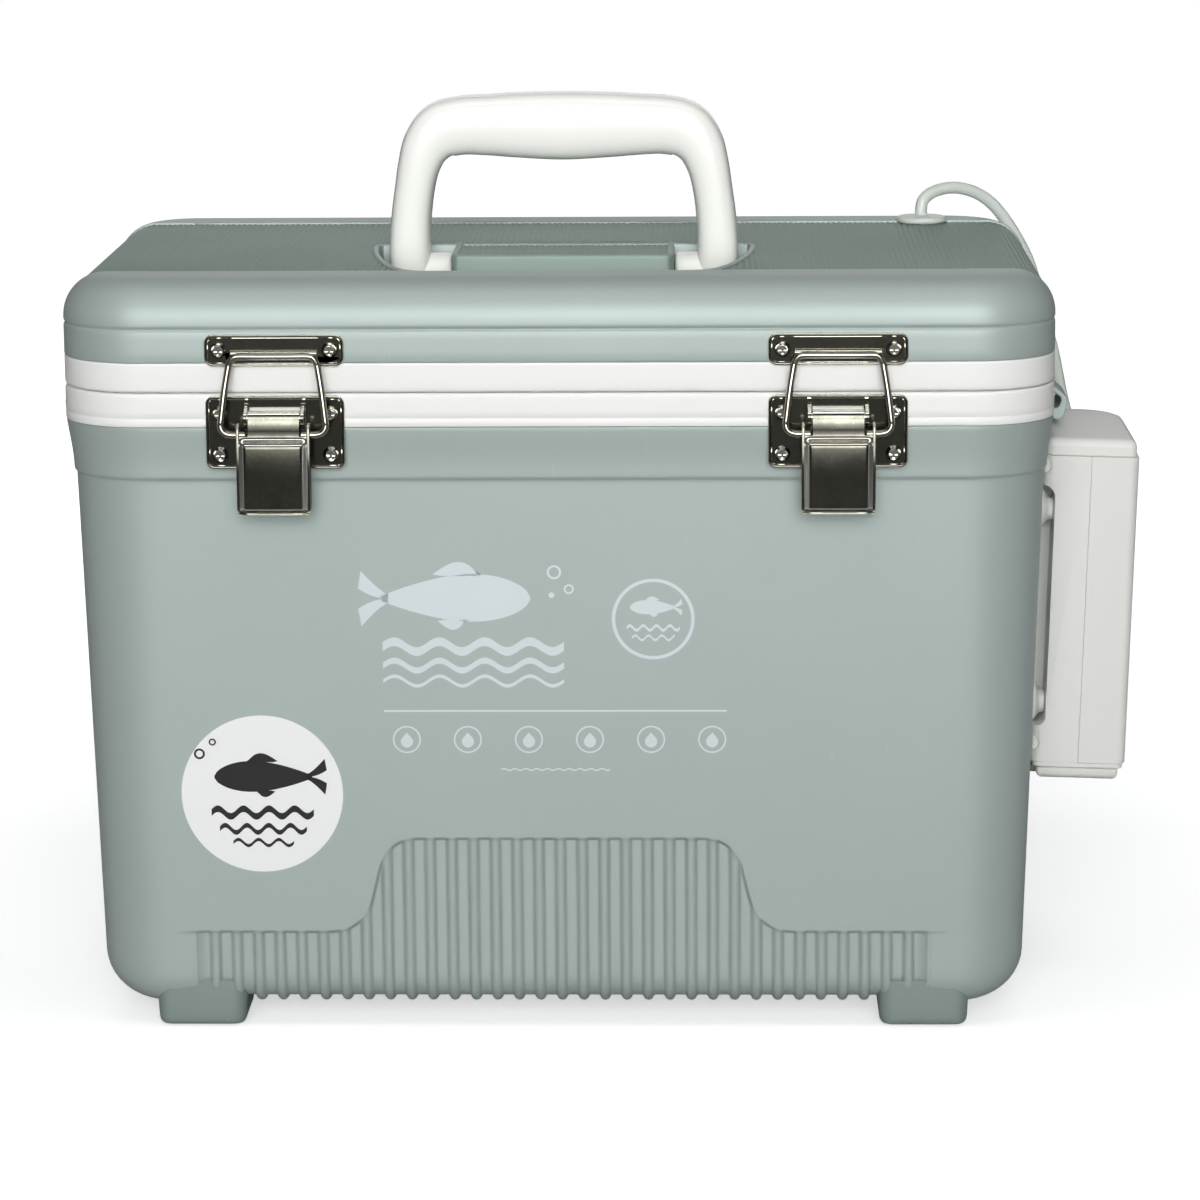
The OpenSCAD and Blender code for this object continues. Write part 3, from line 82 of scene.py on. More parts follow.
def mesh_piece(name, points, quads, tris=None, sharp=None):
    """A mesh object from points (n x 3, in mm), quads (m x 4) and tris (k x 3). It is shaded
    smooth, apart from edges that turn more than sharp degrees."""
    tris = np.zeros((0, 3), int) if tris is None else np.asarray(tris, int)
    quads = np.asarray(quads, int).reshape(-1, 4)
    points = np.asarray(points, float).reshape(-1, 3) * MM
    mesh = bpy.data.meshes.new(name)
    mesh.vertices.add(len(points))
    mesh.vertices.foreach_set("co", points.astype(np.float32).ravel())
    loops = np.concatenate([quads.ravel(), tris.ravel()]).astype(np.int32)
    totals = np.concatenate([np.full(len(quads), 4), np.full(len(tris), 3)]).astype(np.int32)
    starts = np.concatenate([[0], np.cumsum(totals)[:-1]]).astype(np.int32)
    mesh.loops.add(len(loops))
    mesh.loops.foreach_set("vertex_index", loops)
    mesh.polygons.add(len(totals))
    mesh.polygons.foreach_set("loop_start", starts)
    mesh.polygons.foreach_set("loop_total", totals)
    mesh.polygons.foreach_set("use_smooth", np.ones(len(totals), bool))
    mesh.update(calc_edges=True)
    mesh.validate()
    if sharp is not None:
        mesh.set_sharp_from_angle(angle=math.radians(sharp))
    piece = bpy.data.objects.new(name, mesh)
    bpy.context.scene.collection.objects.link(piece)
    return piece


def grid_quads(rows, columns, closed_rows=False, closed_columns=False, start=0):
    """The quads of a grid of points stored row by row. A closed direction joins its last line to
    its first."""
    r = np.arange(rows if closed_rows else rows - 1)
    c = np.arange(columns if closed_columns else columns - 1)
    a, b = np.meshgrid(r, c, indexing="ij")
    a2, b2 = (a + 1) % rows, (b + 1) % columns
    return start + np.stack([a * columns + b, a * columns + b2, a2 * columns + b2, a2 * columns + b],
                            -1).reshape(-1, 4)


def joined(*parts):
    """Several (points, quads, tris) put into one set, with the faces' numbers moved along."""
    points, quads, tris, n = [], [], [], 0
    for part in parts:
        p, q = np.asarray(part[0], float).reshape(-1, 3), np.asarray(part[1], int).reshape(-1, 4)
        t = np.asarray(part[2], int).reshape(-1, 3) if len(part) > 2 else np.zeros((0, 3), int)
        points.append(p)
        quads.append(q + n)
        tris.append(t + n)
        n += len(p)
    return np.concatenate(points), np.concatenate(quads), np.concatenate(tris)

# ---- Light, floor and background -----------------------------------------------------
# A white sweep with soft boxes: a key in front and above, one overhead, one each side for
# the upright highlights near the corners, and weak fills in front and behind.


def linear(r, g, b):
    """A screen colour (0 to 255) as the linear values that the shaders use."""
    c = np.array([r, g, b]) / 255.0
    low, high = c / 12.92, ((c + 0.055) / 1.055) ** 2.4
    return tuple(float(v) for v in np.where(c <= 0.04045, low, high)) + (1.0,)


def soft_box(name, where, aim, width, height, power, spread=180):
    """An area light at where (m) that points at aim, its beam held to spread degrees."""
    data = bpy.data.lights.new(name, "AREA")
    data.shape = "RECTANGLE"
    data.size, data.size_y, data.energy, data.spread = width, height, power, math.radians(spread)
    light = bpy.data.objects.new(name, data)
    bpy.context.scene.collection.objects.link(light)
    away = Vector(where) - Vector(aim)
    light.rotation_euler = away.to_track_quat("Z", "Y").to_euler()
    light.location = where


soft_box("key", (0.02, -1.5, 0.76), (0.0, 0.0, 0.34), 1.8, 1.2, 5.6, 50)
soft_box("overhead", (0.0, -0.4, 1.4), (0.0, 0.0, 0.2), 1.3, 0.25, 2.8)
soft_box("left strip", (-1.1, -0.35, 0.32), (-0.08, 0.0, 0.2), 0.10, 0.9, 0.24)
soft_box("right strip", (1.1, -0.35, 0.32), (0.08, 0.0, 0.2), 0.10, 0.9, 0.24)
soft_box("front fill", (0.1, -2.5, 0.85), (0.0, 0.0, 0.16), 1.8, 1.0, 3.0)
soft_box("rear fill", (0.0, 1.6, 0.8), (0.0, 0.0, 0.15), 1.4, 1.0, 4.0)

world = bpy.data.worlds.new("white sweep")
world.use_nodes = True
bpy.context.scene.world = world
wn, wl = world.node_tree.nodes, world.node_tree.links
wn.clear()
ray = wn.new("ShaderNodeLightPath")
sweep = wn.new("ShaderNodeBackground")
sweep.inputs["Color"].default_value = (1.0, 1.0, 1.0, 1.0)
sweep.inputs["Strength"].default_value = 1.0
room = wn.new("ShaderNodeBackground")
room.inputs["Color"].default_value = (0.93, 0.96, 1.0, 1.0)
room.inputs["Strength"].default_value = 0.11
mix = wn.new("ShaderNodeMixShader")
world_out = wn.new("ShaderNodeOutputWorld")
wl.new(ray.outputs["Is Camera Ray"], mix.inputs[0])
wl.new(room.outputs[0], mix.inputs[1])
wl.new(sweep.outputs[0], mix.inputs[2])
wl.new(mix.outputs[0], world_out.inputs["Surface"])
bpy.context.scene.view_settings.view_transform = "Standard"


def finish_of(name):
    """A new material with its Principled shader: (material, nodes, links, shader)."""
    m = bpy.data.materials.new(name)
    m.use_nodes = True
    return m, m.node_tree.nodes, m.node_tree.links, m.node_tree.nodes["Principled BSDF"]


floor_finish, nodes, links, shader = finish_of("floor paper")
shader.inputs["Roughness"].default_value = 0.8
shader.inputs["Specular IOR Level"].default_value = 0.1
shader.inputs["Emission Color"].default_value = (1.0, 1.0, 1.0, 1.0)
far = nodes.new("ShaderNodeVectorMath")
far.operation = "LENGTH"
links.new(nodes.new("ShaderNodeTexCoord").outputs["Object"], far.inputs[0])
glow = nodes.new("ShaderNodeMapRange")
glow.interpolation_type = "SMOOTHSTEP"
for label, value in (("From Min", 0.2), ("From Max", 1.0), ("To Min", 0.55), ("To Max", 0.92)):
    glow.inputs[label].default_value = value
links.new(far.outputs["Value"], glow.inputs["Value"])
ray = nodes.new("ShaderNodeLightPath").outputs["Is Camera Ray"]
seen = nodes.new("ShaderNodeMath")
seen.operation = "MULTIPLY"
links.new(ray, seen.inputs[0])
bounce = nodes.new("ShaderNodeMix")
bounce.data_type = "RGBA"
links.new(ray, bounce.inputs[0])
bounce.inputs[6].default_value = (0.50, 0.50, 0.50, 1.0)
bounce.inputs[7].default_value = (0.92, 0.92, 0.92, 1.0)
links.new(bounce.outputs[2], shader.inputs["Base Color"])
links.new(glow.outputs["Result"], seen.inputs[1])
links.new(seen.outputs[0], shader.inputs["Emission Strength"])
floor = mesh_piece("floor", [[-3500, -3500, -0.6], [3500, -3500, -0.6], [3500, 3500, -0.6],
                             [-3500, 3500, -0.6]], [[0, 1, 2, 3]])
floor.data.materials.append(floor_finish)

# ---- Shared by the materials: moulded skin and worn metal ----------------------------
# Injection-moulded skins have a fine grain, a faint slow mottle and small scuffs. Plated
# sheet has smears and pin marks. Both are groups that give colour, roughness and height.


def group_of(name, inputs, outputs):
    """A shader node group with these sockets: (tree, its input node, its output node)."""
    tree = bpy.data.node_groups.new(name, "ShaderNodeTree")
    for label, kind, value in inputs:
        s = tree.interface.new_socket(label, in_out="INPUT", socket_type=kind)
        s.default_value = value
    for label, kind in outputs:
        tree.interface.new_socket(label, in_out="OUTPUT", socket_type=kind)
    return tree, tree.nodes.new("NodeGroupInput"), tree.nodes.new("NodeGroupOutput")


def noise_in(tree, coordinate, scale, detail, rough=0.5):
    """A noise texture on a coordinate; scale is a number or a socket. Gives its Fac."""
    n = tree.nodes.new("ShaderNodeTexNoise")
    tree.links.new(coordinate, n.inputs["Vector"])
    if isinstance(scale, (int, float)):
        n.inputs["Scale"].default_value = scale
    else:
        tree.links.new(scale, n.inputs["Scale"])
    n.inputs["Detail"].default_value = detail
    n.inputs["Roughness"].default_value = rough
    return n.outputs["Fac"]


def sum_in(tree, kind, a, b, c=None, clamp=False):
    """A Math node of that kind; a, b and c are numbers or sockets."""
    n = tree.nodes.new("ShaderNodeMath")
    n.operation, n.use_clamp = kind, clamp
    for slot_number, v in enumerate([a, b] + ([] if c is None else [c])):
        if isinstance(v, (int, float)):
            n.inputs[slot_number].default_value = v
        else:
            tree.links.new(v, n.inputs[slot_number])
    return n.outputs[0]


def blend_in(tree, factor, a, b, kind="MIX"):
    """A colour Mix node; factor, a and b are values or sockets."""
    n = tree.nodes.new("ShaderNodeMix")
    n.data_type, n.blend_type = "RGBA", kind
    for s, v in ((n.inputs[0], factor), (n.inputs[6], a), (n.inputs[7], b)):
        if isinstance(v, (int, float, tuple)):
            s.default_value = v
        else:
            tree.links.new(v, s)
    return n.outputs[2]


FLOAT, COLOUR = "NodeSocketFloat", "NodeSocketColor"
moulded_skin, gi, go = group_of("moulded skin", [("Colour", COLOUR, (0.5, 0.5, 0.5, 1)),
                                                 ("Dark", COLOUR, (0.4, 0.4, 0.4, 1)),
                                                 ("Mottle", FLOAT, 0.25), ("Grain Scale", FLOAT, 900.0),
                                                 ("Roughness", FLOAT, 0.4), ("Spread", FLOAT, 0.08),
                                                 ("Scuffs", FLOAT, 0.1)],
                                [("Colour", COLOUR), ("Roughness", FLOAT), ("Height", FLOAT)])
where = moulded_skin.nodes.new("ShaderNodeTexCoord").outputs["Object"]
grain = noise_in(moulded_skin, where, gi.outputs["Grain Scale"], 2.0)
slow = noise_in(moulded_skin, where, 9.0, 3.0, 0.55)
mid = noise_in(moulded_skin, where, 60.0, 4.0, 0.6)
stretch = moulded_skin.nodes.new("ShaderNodeMapping")
stretch.inputs["Scale"].default_value = (1.0, 1.0, 0.12)
stretch.inputs["Rotation"].default_value = (0.4, 0.9, 0.3)
moulded_skin.links.new(where, stretch.inputs["Vector"])
scratch = noise_in(moulded_skin, stretch.outputs[0], 420.0, 1.0)
scratch = sum_in(moulded_skin, "GREATER_THAN", scratch, 0.74)
scratch = sum_in(moulded_skin, "MULTIPLY", scratch, sum_in(moulded_skin, "GREATER_THAN", mid, 0.58))
scratch = sum_in(moulded_skin, "MULTIPLY", scratch, gi.outputs["Scuffs"])
amount = sum_in(moulded_skin, "MULTIPLY", sum_in(moulded_skin, "ADD", slow,
                                                 sum_in(moulded_skin, "MULTIPLY", mid, 0.35)),
                gi.outputs["Mottle"], clamp=True)
skin_colour = blend_in(moulded_skin, amount, gi.outputs["Colour"], gi.outputs["Dark"])
skin_colour = blend_in(moulded_skin, scratch, skin_colour, (0.8, 0.82, 0.82, 1.0))
moulded_skin.links.new(skin_colour, go.inputs["Colour"])
varied = sum_in(moulded_skin, "MULTIPLY_ADD", sum_in(moulded_skin, "SUBTRACT", slow, 0.5),
                gi.outputs["Spread"], gi.outputs["Roughness"])
varied = sum_in(moulded_skin, "MULTIPLY_ADD", scratch, 0.6, varied, clamp=True)
moulded_skin.links.new(varied, go.inputs["Roughness"])
moulded_skin.links.new(sum_in(moulded_skin, "MULTIPLY_ADD", mid, 0.3, grain), go.inputs["Height"])


def moulded(name, colour, dark, mottle=0.3, grain_scale=900.0, roughness=0.4, spread=0.08, scuffs=0.12,
            bump=0.05, depth=0.0002, metallic=0.0, coat=0.0, coat_rough=0.1, specular=0.5):
    """A moulded plastic, rubber or painted finish made with the moulded skin group. depth is the
    grain's height in metres."""
    m, nodes, links, shader = finish_of(name)
    g = nodes.new("ShaderNodeGroup")
    g.node_tree = moulded_skin
    for label, v in (("Colour", colour), ("Dark", dark), ("Mottle", mottle), ("Grain Scale", grain_scale),
                     ("Roughness", roughness), ("Spread", spread), ("Scuffs", scuffs)):
        g.inputs[label].default_value = v
    links.new(g.outputs["Colour"], shader.inputs["Base Color"])
    links.new(g.outputs["Roughness"], shader.inputs["Roughness"])
    b = nodes.new("ShaderNodeBump")
    b.inputs["Strength"].default_value = bump
    b.inputs["Distance"].default_value = depth
    links.new(g.outputs["Height"], b.inputs["Height"])
    links.new(b.outputs["Normal"], shader.inputs["Normal"])
    shader.inputs["Metallic"].default_value = metallic
    shader.inputs["Coat Weight"].default_value = coat
    shader.inputs["Coat Roughness"].default_value = coat_rough
    shader.inputs["Specular IOR Level"].default_value = specular
    return m


plated_skin, gi, go = group_of("plated skin", [("Colour", COLOUR, (0.5, 0.5, 0.5, 1)),
                                               ("Smear", COLOUR, (0.4, 0.38, 0.33, 1)),
                                               ("Roughness", FLOAT, 0.2), ("Spread", FLOAT, 0.15),
                                               ("Pits", FLOAT, 0.3)],
                               [("Colour", COLOUR), ("Roughness", FLOAT), ("Height", FLOAT)])
where = plated_skin.nodes.new("ShaderNodeTexCoord").outputs["Object"]
smear = noise_in(plated_skin, where, 130.0, 4.0, 0.6)
pits = noise_in(plated_skin, where, 2600.0, 1.0)
pits = sum_in(plated_skin, "GREATER_THAN", pits, 0.72)
pits = sum_in(plated_skin, "MULTIPLY", pits, gi.outputs["Pits"])
plate_colour = blend_in(plated_skin, smear, gi.outputs["Colour"], gi.outputs["Smear"])
plate_colour = blend_in(plated_skin, pits, plate_colour, (0.62, 0.6, 0.55, 1.0))
plated_skin.links.new(plate_colour, go.inputs["Colour"])
varied = sum_in(plated_skin, "MULTIPLY_ADD", sum_in(plated_skin, "SUBTRACT", smear, 0.5),
                gi.outputs["Spread"], gi.outputs["Roughness"])
plated_skin.links.new(sum_in(plated_skin, "MULTIPLY_ADD", pits, 0.4, varied, clamp=True),
                      go.inputs["Roughness"])
plated_skin.links.new(sum_in(plated_skin, "SUBTRACT", smear, pits), go.inputs["Height"])


def plated(name, colour, smear_colour, roughness=0.2, spread=0.15, pits_amount=0.3, bump=0.08, painted_highlight=None):
    """A plated or polished metal made with the plated skin group. Where a highlight colour is given,
    that colour is painted on the shoulders that turn away from the front, as a painted highlight."""
    m, nodes, links, shader = finish_of(name)
    g = nodes.new("ShaderNodeGroup")
    g.node_tree = plated_skin
    for label, v in (("Colour", colour), ("Smear", smear_colour), ("Roughness", roughness),
                     ("Spread", spread), ("Pits", pits_amount)):
        g.inputs[label].default_value = v
    links.new(g.outputs["Colour"], shader.inputs["Base Color"])
    if painted_highlight:
        # A near-white colour painted on the shoulders that face away from the front: a painted highlight.
        facing = nodes.new("ShaderNodeSeparateXYZ")
        links.new(nodes.new("ShaderNodeTexCoord").outputs["Normal"], facing.inputs[0])
        highlight_mask = nodes.new("ShaderNodeMapRange")
        highlight_mask.interpolation_type = "SMOOTHSTEP"
        for label, value in (("From Min", -0.93), ("From Max", -0.72), ("To Min", 0.0), ("To Max", 1.0)):
            highlight_mask.inputs[label].default_value = value
        links.new(facing.outputs["Y"], highlight_mask.inputs["Value"])
        edge = nodes.new("ShaderNodeMix")
        edge.data_type = "RGBA"
        links.new(highlight_mask.outputs["Result"], edge.inputs[0])
        links.new(g.outputs["Colour"], edge.inputs[6])
        edge.inputs[7].default_value = painted_highlight
        links.new(edge.outputs[2], shader.inputs["Base Color"])
    links.new(g.outputs["Roughness"], shader.inputs["Roughness"])
    b = nodes.new("ShaderNodeBump")
    b.inputs["Strength"].default_value = bump
    b.inputs["Distance"].default_value = 0.0002
    links.new(g.outputs["Height"], b.inputs["Height"])
    links.new(b.outputs["Normal"], shader.inputs["Normal"])
    shader.inputs["Metallic"].default_value = 1.0
    return m


# ---- Body shell ----------------------------------------------------------------------
# One injection-moulded tub of pearl grey-green plastic: drafted walls, a flange under the
# rim, a sunk field of upright ribs along the foot of the front and back, ribs underneath.
half_w, half_d = 186.0, 113.0
corner_x, corner_y = 150.0, 80.0
body_low, flange_low, flange_in = 7.5, 213.5, 3.4
draft_angle = math.radians(1.8)
draft = math.tan(draft_angle)
body_tuck_x, body_tuck_y = 18.0, 12.0
rib_pitch, rib_side, rib_height, bead_half = 8.25, 16, 2.2, 2.05
field_half = rib_pitch * (rib_side + 0.9)


def plan_of(sx, sy, xs, ys, corner_steps):
    """A rounded rectangle's columns, counter-clockwise from the front left: a point at half width w
    and half depth d is (kx + cx (w - sx), ky + cy (d - sy))."""
    a = np.linspace(0, math.pi / 2, corner_steps + 2)[1:-1]
    rows = []
    for x0, y0, start in ((None, -1, 0), (1, -1, -0.5), (1, None, 0), (1, 1, 0.0), (None, 1, 0),
                          (-1, 1, 0.5), (-1, None, 0), (-1, -1, 1.0)):
        if x0 is None:
            line = xs if y0 < 0 else xs[::-1]
            rows.append(np.stack([line, np.full(len(line), y0 * sy), np.zeros(len(line)),
                                  np.full(len(line), float(y0))]))
        elif y0 is None:
            line = ys if x0 > 0 else ys[::-1]
            rows.append(np.stack([np.full(len(line), x0 * sx), line, np.full(len(line), float(x0)),
                                  np.zeros(len(line))]))
        else:
            b = a + start * math.pi
            rows.append(np.stack([np.full(len(b), x0 * sx), np.full(len(b), y0 * sy), np.cos(b), np.sin(b)]))
    return np.concatenate(rows, axis=1)


def ease(t):
    """Goes smoothly from 0 to 1 as t does."""
    t = np.clip(t, 0, 1)
    return t * t * (3 - 2 * t)


rib_offsets = np.array([-3.2, -2.5, -2.02, -1.75, -1.1, 0, 1.1, 1.75, 2.02, 2.5, 3.2])
rib_columns = (np.arange(-rib_side, rib_side + 1)[:, None] * rib_pitch + rib_offsets).ravel()
edge_columns = np.array([field_half - 0.9, field_half - 0.3, field_half + 0.3, field_half + 0.9, 141.5, 144,
                         147, corner_x])
front_xs = np.concatenate([-edge_columns[::-1], rib_columns, edge_columns])
side_ys = np.linspace(-corner_y, corner_y, 17)
body_plan = plan_of(corner_x, corner_y, front_xs, side_ys, 12)
kx, ky, cx, cy = body_plan
on_face = cx == 0
step_x = [0, 54, 57, 60, 62.6, 65, 67, 68.6, 69.7, 70.7, 71.6, 72.8, 74.4, 76.7, 79.8, 83.5, 88, 200]
step_z = [74.3, 74.3, 74.1, 73.3, 71.9, 69.7, 66.6, 62.4, 58.2, 53.6, 50.2, 46.8, 43.9, 41.4, 39.3, 37.9,
          37.5, 37.5]
field_top = np.where(on_face, np.interp(np.abs(kx), step_x, step_z), 37.5)
low_rows = body_low + np.array([0, 0.15, 0.5, 1.1, 2, 3.2, 4.8, 6.8, 9.2, 12, 15, 18])
middle = np.linspace(0, 1, 8)[1:-1, None]
seam_rows = np.array([-4.2, -2.8, -1.9, -1.2, -0.7, -0.3, 0, 0.3, 0.7, 1.2, 1.9, 2.8, 4.2])
above = np.linspace(0, 1, 16)[1:-1, None]
lip_z = np.array([209.5, 211.8, 212.8, 213.3, 213.6, 214.0, 214.8, 217, 220.5, 225, 229, 231.6, 232.9,
                  233.35, 233.5, 233.5])
lip_in = np.array([3.47, 3.42, 3.38, 3.15, 2.75, 2.5, 2.38, 2.3, 1.95, 1.3, 0.62, 0.22, 0.08, 0.12, 0.5,
                   3.0])
wide = np.ones_like(kx)
z_low = low_rows[-1]
body_z = np.concatenate([
    low_rows[:, None] * wide,
    z_low + (field_top - 4.2 - z_low) * middle,
    field_top + seam_rows[:, None],
    field_top + 4.2 + (lip_z[0] - field_top - 4.2) * above,
    lip_z[:, None] * wide])
wall = np.where(body_z < lip_z[0], flange_in + (flange_low - body_z) * draft,
                np.interp(body_z, lip_z, lip_in))
wall[-len(lip_z):] = lip_in[:, None]
up = body_z - body_low


def tucked(h, r):
    """How far a bottom edge of radius r has tucked in at height h above the underside."""
    return np.where(h < r, r - np.sqrt(np.clip(r * r - (r - h) ** 2, 0, None)), 0.0)


nearest = np.abs(kx - np.round(kx / rib_pitch) * rib_pitch)
bead = np.sqrt(np.clip(1 - (nearest / bead_half) ** 2, 0, 1)) * (np.abs(kx) < field_half)
top_slope = np.abs(np.gradient(field_top, kx + np.arange(len(kx)) * 1e-9)) * on_face
side_mask = ease((field_half - np.abs(kx)) / 1.1 + 0.5) * on_face
steepness = np.sqrt(1 + np.clip(np.nan_to_num(top_slope), 0, 6) ** 2)
field_mask = ease((field_top - body_z) / (1.5 * steepness) + 0.5) * side_mask
low_mask = ease((37.5 - body_z) / 1.5 + 0.5)
beside = on_face * (np.abs(kx) > field_half) * ease((148.0 - np.abs(kx)) / 7.0) * low_mask
sunk = rib_height * field_mask * (1 - 0.93 * bead) + 0.35 * beside
lean = np.clip(up / 12.0, 0, 1)
outward_y = np.sqrt(np.clip(1 - (1 - lean) ** 2, 0, 1))
half_x = half_w - wall - tucked(up, body_tuck_x)
half_y = half_d - wall - tucked(up, body_tuck_y) - sunk * outward_y
body_x = kx + cx * (half_x - corner_x)
body_y = ky + cy * (half_y - corner_y)
body_z = body_z + sunk * (1 - lean)
rows, columns = body_z.shape
shell_points = np.stack([body_x, body_y, body_z], -1)
shell_quads = grid_quads(rows, columns, closed_columns=True)

n_front, n_side = len(front_xs), len(side_ys)
across = 12 + n_side + 12 + 2
ring = shell_points[0]
under_y = np.linspace(ring[0, 1], -ring[0, 1], across)
under = np.stack(np.broadcast_arrays(front_xs[None, :], under_y[:, None], ring[None, :n_front, 2]), -1)
under_quads = grid_quads(across, n_front)[:, ::-1]
arc_right = ring[n_front - 1:n_front - 1 + across]
arc_left = np.concatenate([ring[n_front + across - 2 + n_front - 1:], ring[:1]])
cap_right = np.stack([arc_right, under[:, -1]], 1)
cap_left = np.stack([under[::-1, 0], arc_left], 1)
right_quads = grid_quads(across, 2)
left_quads = grid_quads(across, 2)[:, ::-1]


def rounded_edge(piece, width, segments, degrees):
    """Rounds the piece's edges that turn more than degrees, width mm wide."""
    edge = piece.modifiers.new("edge", "BEVEL")
    edge.width, edge.segments = width * MM, segments
    edge.limit_method, edge.angle_limit = "ANGLE", math.radians(degrees)
    return edge


def fitted(piece, finish, node, body):
    """Gives the piece its finish, hides the node that it stands for and hangs it on the body it rides."""
    piece.data.materials.append(finish)
    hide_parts(node)
    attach(piece, body)


def welded(piece, distance=2e-6, recalc=False):
    """Merges the piece's points that lie on each other, and can turn its faces outwards."""
    b = bmesh.new()
    b.from_mesh(piece.data)
    bmesh.ops.remove_doubles(b, verts=b.verts, dist=distance)
    if recalc:
        bmesh.ops.recalc_face_normals(b, faces=b.faces)
    b.to_mesh(piece.data)
    b.free()
    return piece


def disc(points):
    """A flat closed end on a ring of points given counter-clockwise as seen from outside: (points,
    no quads, tris)."""
    points = np.asarray(points, float)
    n = len(points)
    k = np.arange(n)
    tris = np.stack([k, (k + 1) % n, np.full(n, n)], -1)
    return np.concatenate([points, points.mean(0, keepdims=True)]), np.zeros((0, 4), int), tris


def tub(columns_of, profile, hw, hd, sx, sy):
    """Rows of a rounded rectangle along a profile of (inset, z): a grid of points."""
    inset, z = np.asarray(profile, float).T[:, :, None]
    x = columns_of[0] + columns_of[2] * (hw - inset - sx)
    y = columns_of[1] + columns_of[3] * (hd - inset - sy)
    return np.stack(np.broadcast_arrays(x, y, z), -1)


foot_plan = plan_of(11.5, 12.5, np.linspace(-11.5, 11.5, 3), np.linspace(-12.5, 12.5, 3), 6)
foot_profile = [(4.2, 0.0), (2.6, 0.05), (1.5, 0.35), (0.8, 1.0), (0.35, 2.0), (0.15, 3.4), (0.0, 6.0),
                (-0.2, 11.0), (-0.2, 18.0)]
foot_x, foot_y = 138.0, 84.126
feet = []
foot_grid = tub(foot_plan, foot_profile, 17.0, 18.0, 11.5, 12.5)
for sx in (-1, 1):
    for sy in (-1, 1):
        g = foot_grid + [sx * foot_x, sy * foot_y, 0]
        feet.append((g, grid_quads(len(foot_profile), g.shape[1], closed_columns=True)))
        feet.append(disc(g[0, ::-1]))


def prism_x(outline, x0, x1):
    """A bar of an outline of (y, z) points, counter-clockwise seen from +X, from x0 to x1 further
    right, with closed ends."""
    outline = np.asarray(outline, float)
    n = len(outline)
    ends = [np.column_stack([np.full(n, x), outline]) for x in (x0, x1)]
    return joined((np.concatenate(ends), grid_quads(2, n, closed_columns=True)),
                  disc(ends[0][::-1]), disc(ends[1]))


def ringed(outer, inner, y0, y1):
    """A plate with a hole, in the XZ plane, from y0 to y1: outer and inner are rings of (x, z) with
    as many points, counter-clockwise seen from the front (-Y)."""
    n = len(outer)
    o, i = np.asarray(outer, float), np.asarray(inner, float)
    at_y = lambda r, y: np.column_stack([r[:, 0], np.full(n, y), r[:, 1]])
    loop = np.stack([at_y(o, y0), at_y(o, y1), at_y(i, y1), at_y(i, y0)])
    return loop, grid_quads(4, n, closed_rows=True, closed_columns=True)


def spun(angles, radius, centre):
    """Points of a circle in a plane: (n, 2)."""
    return np.stack([centre[0] + radius * np.cos(angles), centre[1] + radius * np.sin(angles)], -1)


lug_ring = np.array([[186.1, 234.4], [188.6, 234.3], [190.4, 233.9], [192.4, 232.6], [195.6, 229.9],
                     [196.5, 228.9], [196.6, 227.6], [195.9, 223.8], [195.0, 221.4], [194.0, 220.2],
                     [192.6, 220.0], [191.3, 220.4], [190.2, 221.7], [186.5, 222.0], [183, 222.2],
                     [183, 226], [183, 230], [183, 233.3], [186.1, 233.4]])[::-1]
lug_eye, lug_eye_r, lug_half = (191.2, 227.5), 3.0, 13.0
eye_angles = np.arctan2(lug_ring[:, 1] - lug_eye[1], lug_ring[:, 0] - lug_eye[0])
lugs = []
for sx in (-1, 1):
    o = lug_ring * [sx, 1]
    i = spun(eye_angles, lug_eye_r, lug_eye) * [sx, 1]
    p, q = ringed(o, i, -lug_half, lug_half)
    lugs.append((p, q if sx > 0 else q[:, ::-1]))

shell_finish = moulded("pearl grey-green shell", linear(174, 186, 182), linear(158, 171, 167), 0.45, 1400.0,
                       0.52, 0.08, 0.06, 0.06, metallic=0.28, coat=0.05, coat_rough=0.38, specular=0.42)
body_shell = mesh_piece("body_shell", *joined((shell_points, shell_quads), (under, under_quads),
                                              (cap_right, right_quads), (cap_left, left_quads)), sharp=70)
welded(body_shell)
body_shell.data.set_sharp_from_angle(angle=math.radians(60))
fitted(body_shell, shell_finish, "outer_shell", "bucket")

body_feet = welded(mesh_piece("body_feet", *joined(*feet), sharp=40), recalc=True)
# The feet take a darker copy of the shell plastic: painted shade for the shadow under the body.
feet_painted_shade_finish = moulded("shell plastic of the feet with painted shade", linear(140, 153, 147), linear(126, 139, 134), 0.45,
                      1400.0, 0.50, 0.08, 0.06, 0.06, metallic=0.2, coat=0.05, coat_rough=0.4, specular=0.4)
fitted(body_feet, feet_painted_shade_finish, "outer_shell", "bucket")

strap_lugs = welded(mesh_piece("strap_lugs", *joined(*lugs), sharp=35), recalc=True)
rounded_edge(strap_lugs, 0.7, 3, 50)
fitted(strap_lugs, shell_finish, "outer_shell", "bucket")

# ---- White liner and rim of the body -------------------------------------------------
# The food-safe white liner is one moulding: a band round the rim, a flat sealing face and
# the drafted tank with rounded corners and floor.
rim_x, rim_y = half_w - 32.0, half_d - 32.0
tank_x, tank_y = half_w - 48.0, half_d - 48.0
rim_plan = plan_of(rim_x, rim_y, np.linspace(-rim_x, rim_x, 15), np.linspace(-rim_y, rim_y, 9), 14)
tank_plan = plan_of(tank_x, tank_y, np.linspace(-tank_x, tank_x, 15), np.linspace(-tank_y, tank_y, 9), 14)
seal_z = 246.2


def tank_in(z):
    """Inset of the tank's drafted wall at height z."""
    return 22.0 + (seal_z - z) * math.tan(math.radians(1.6))


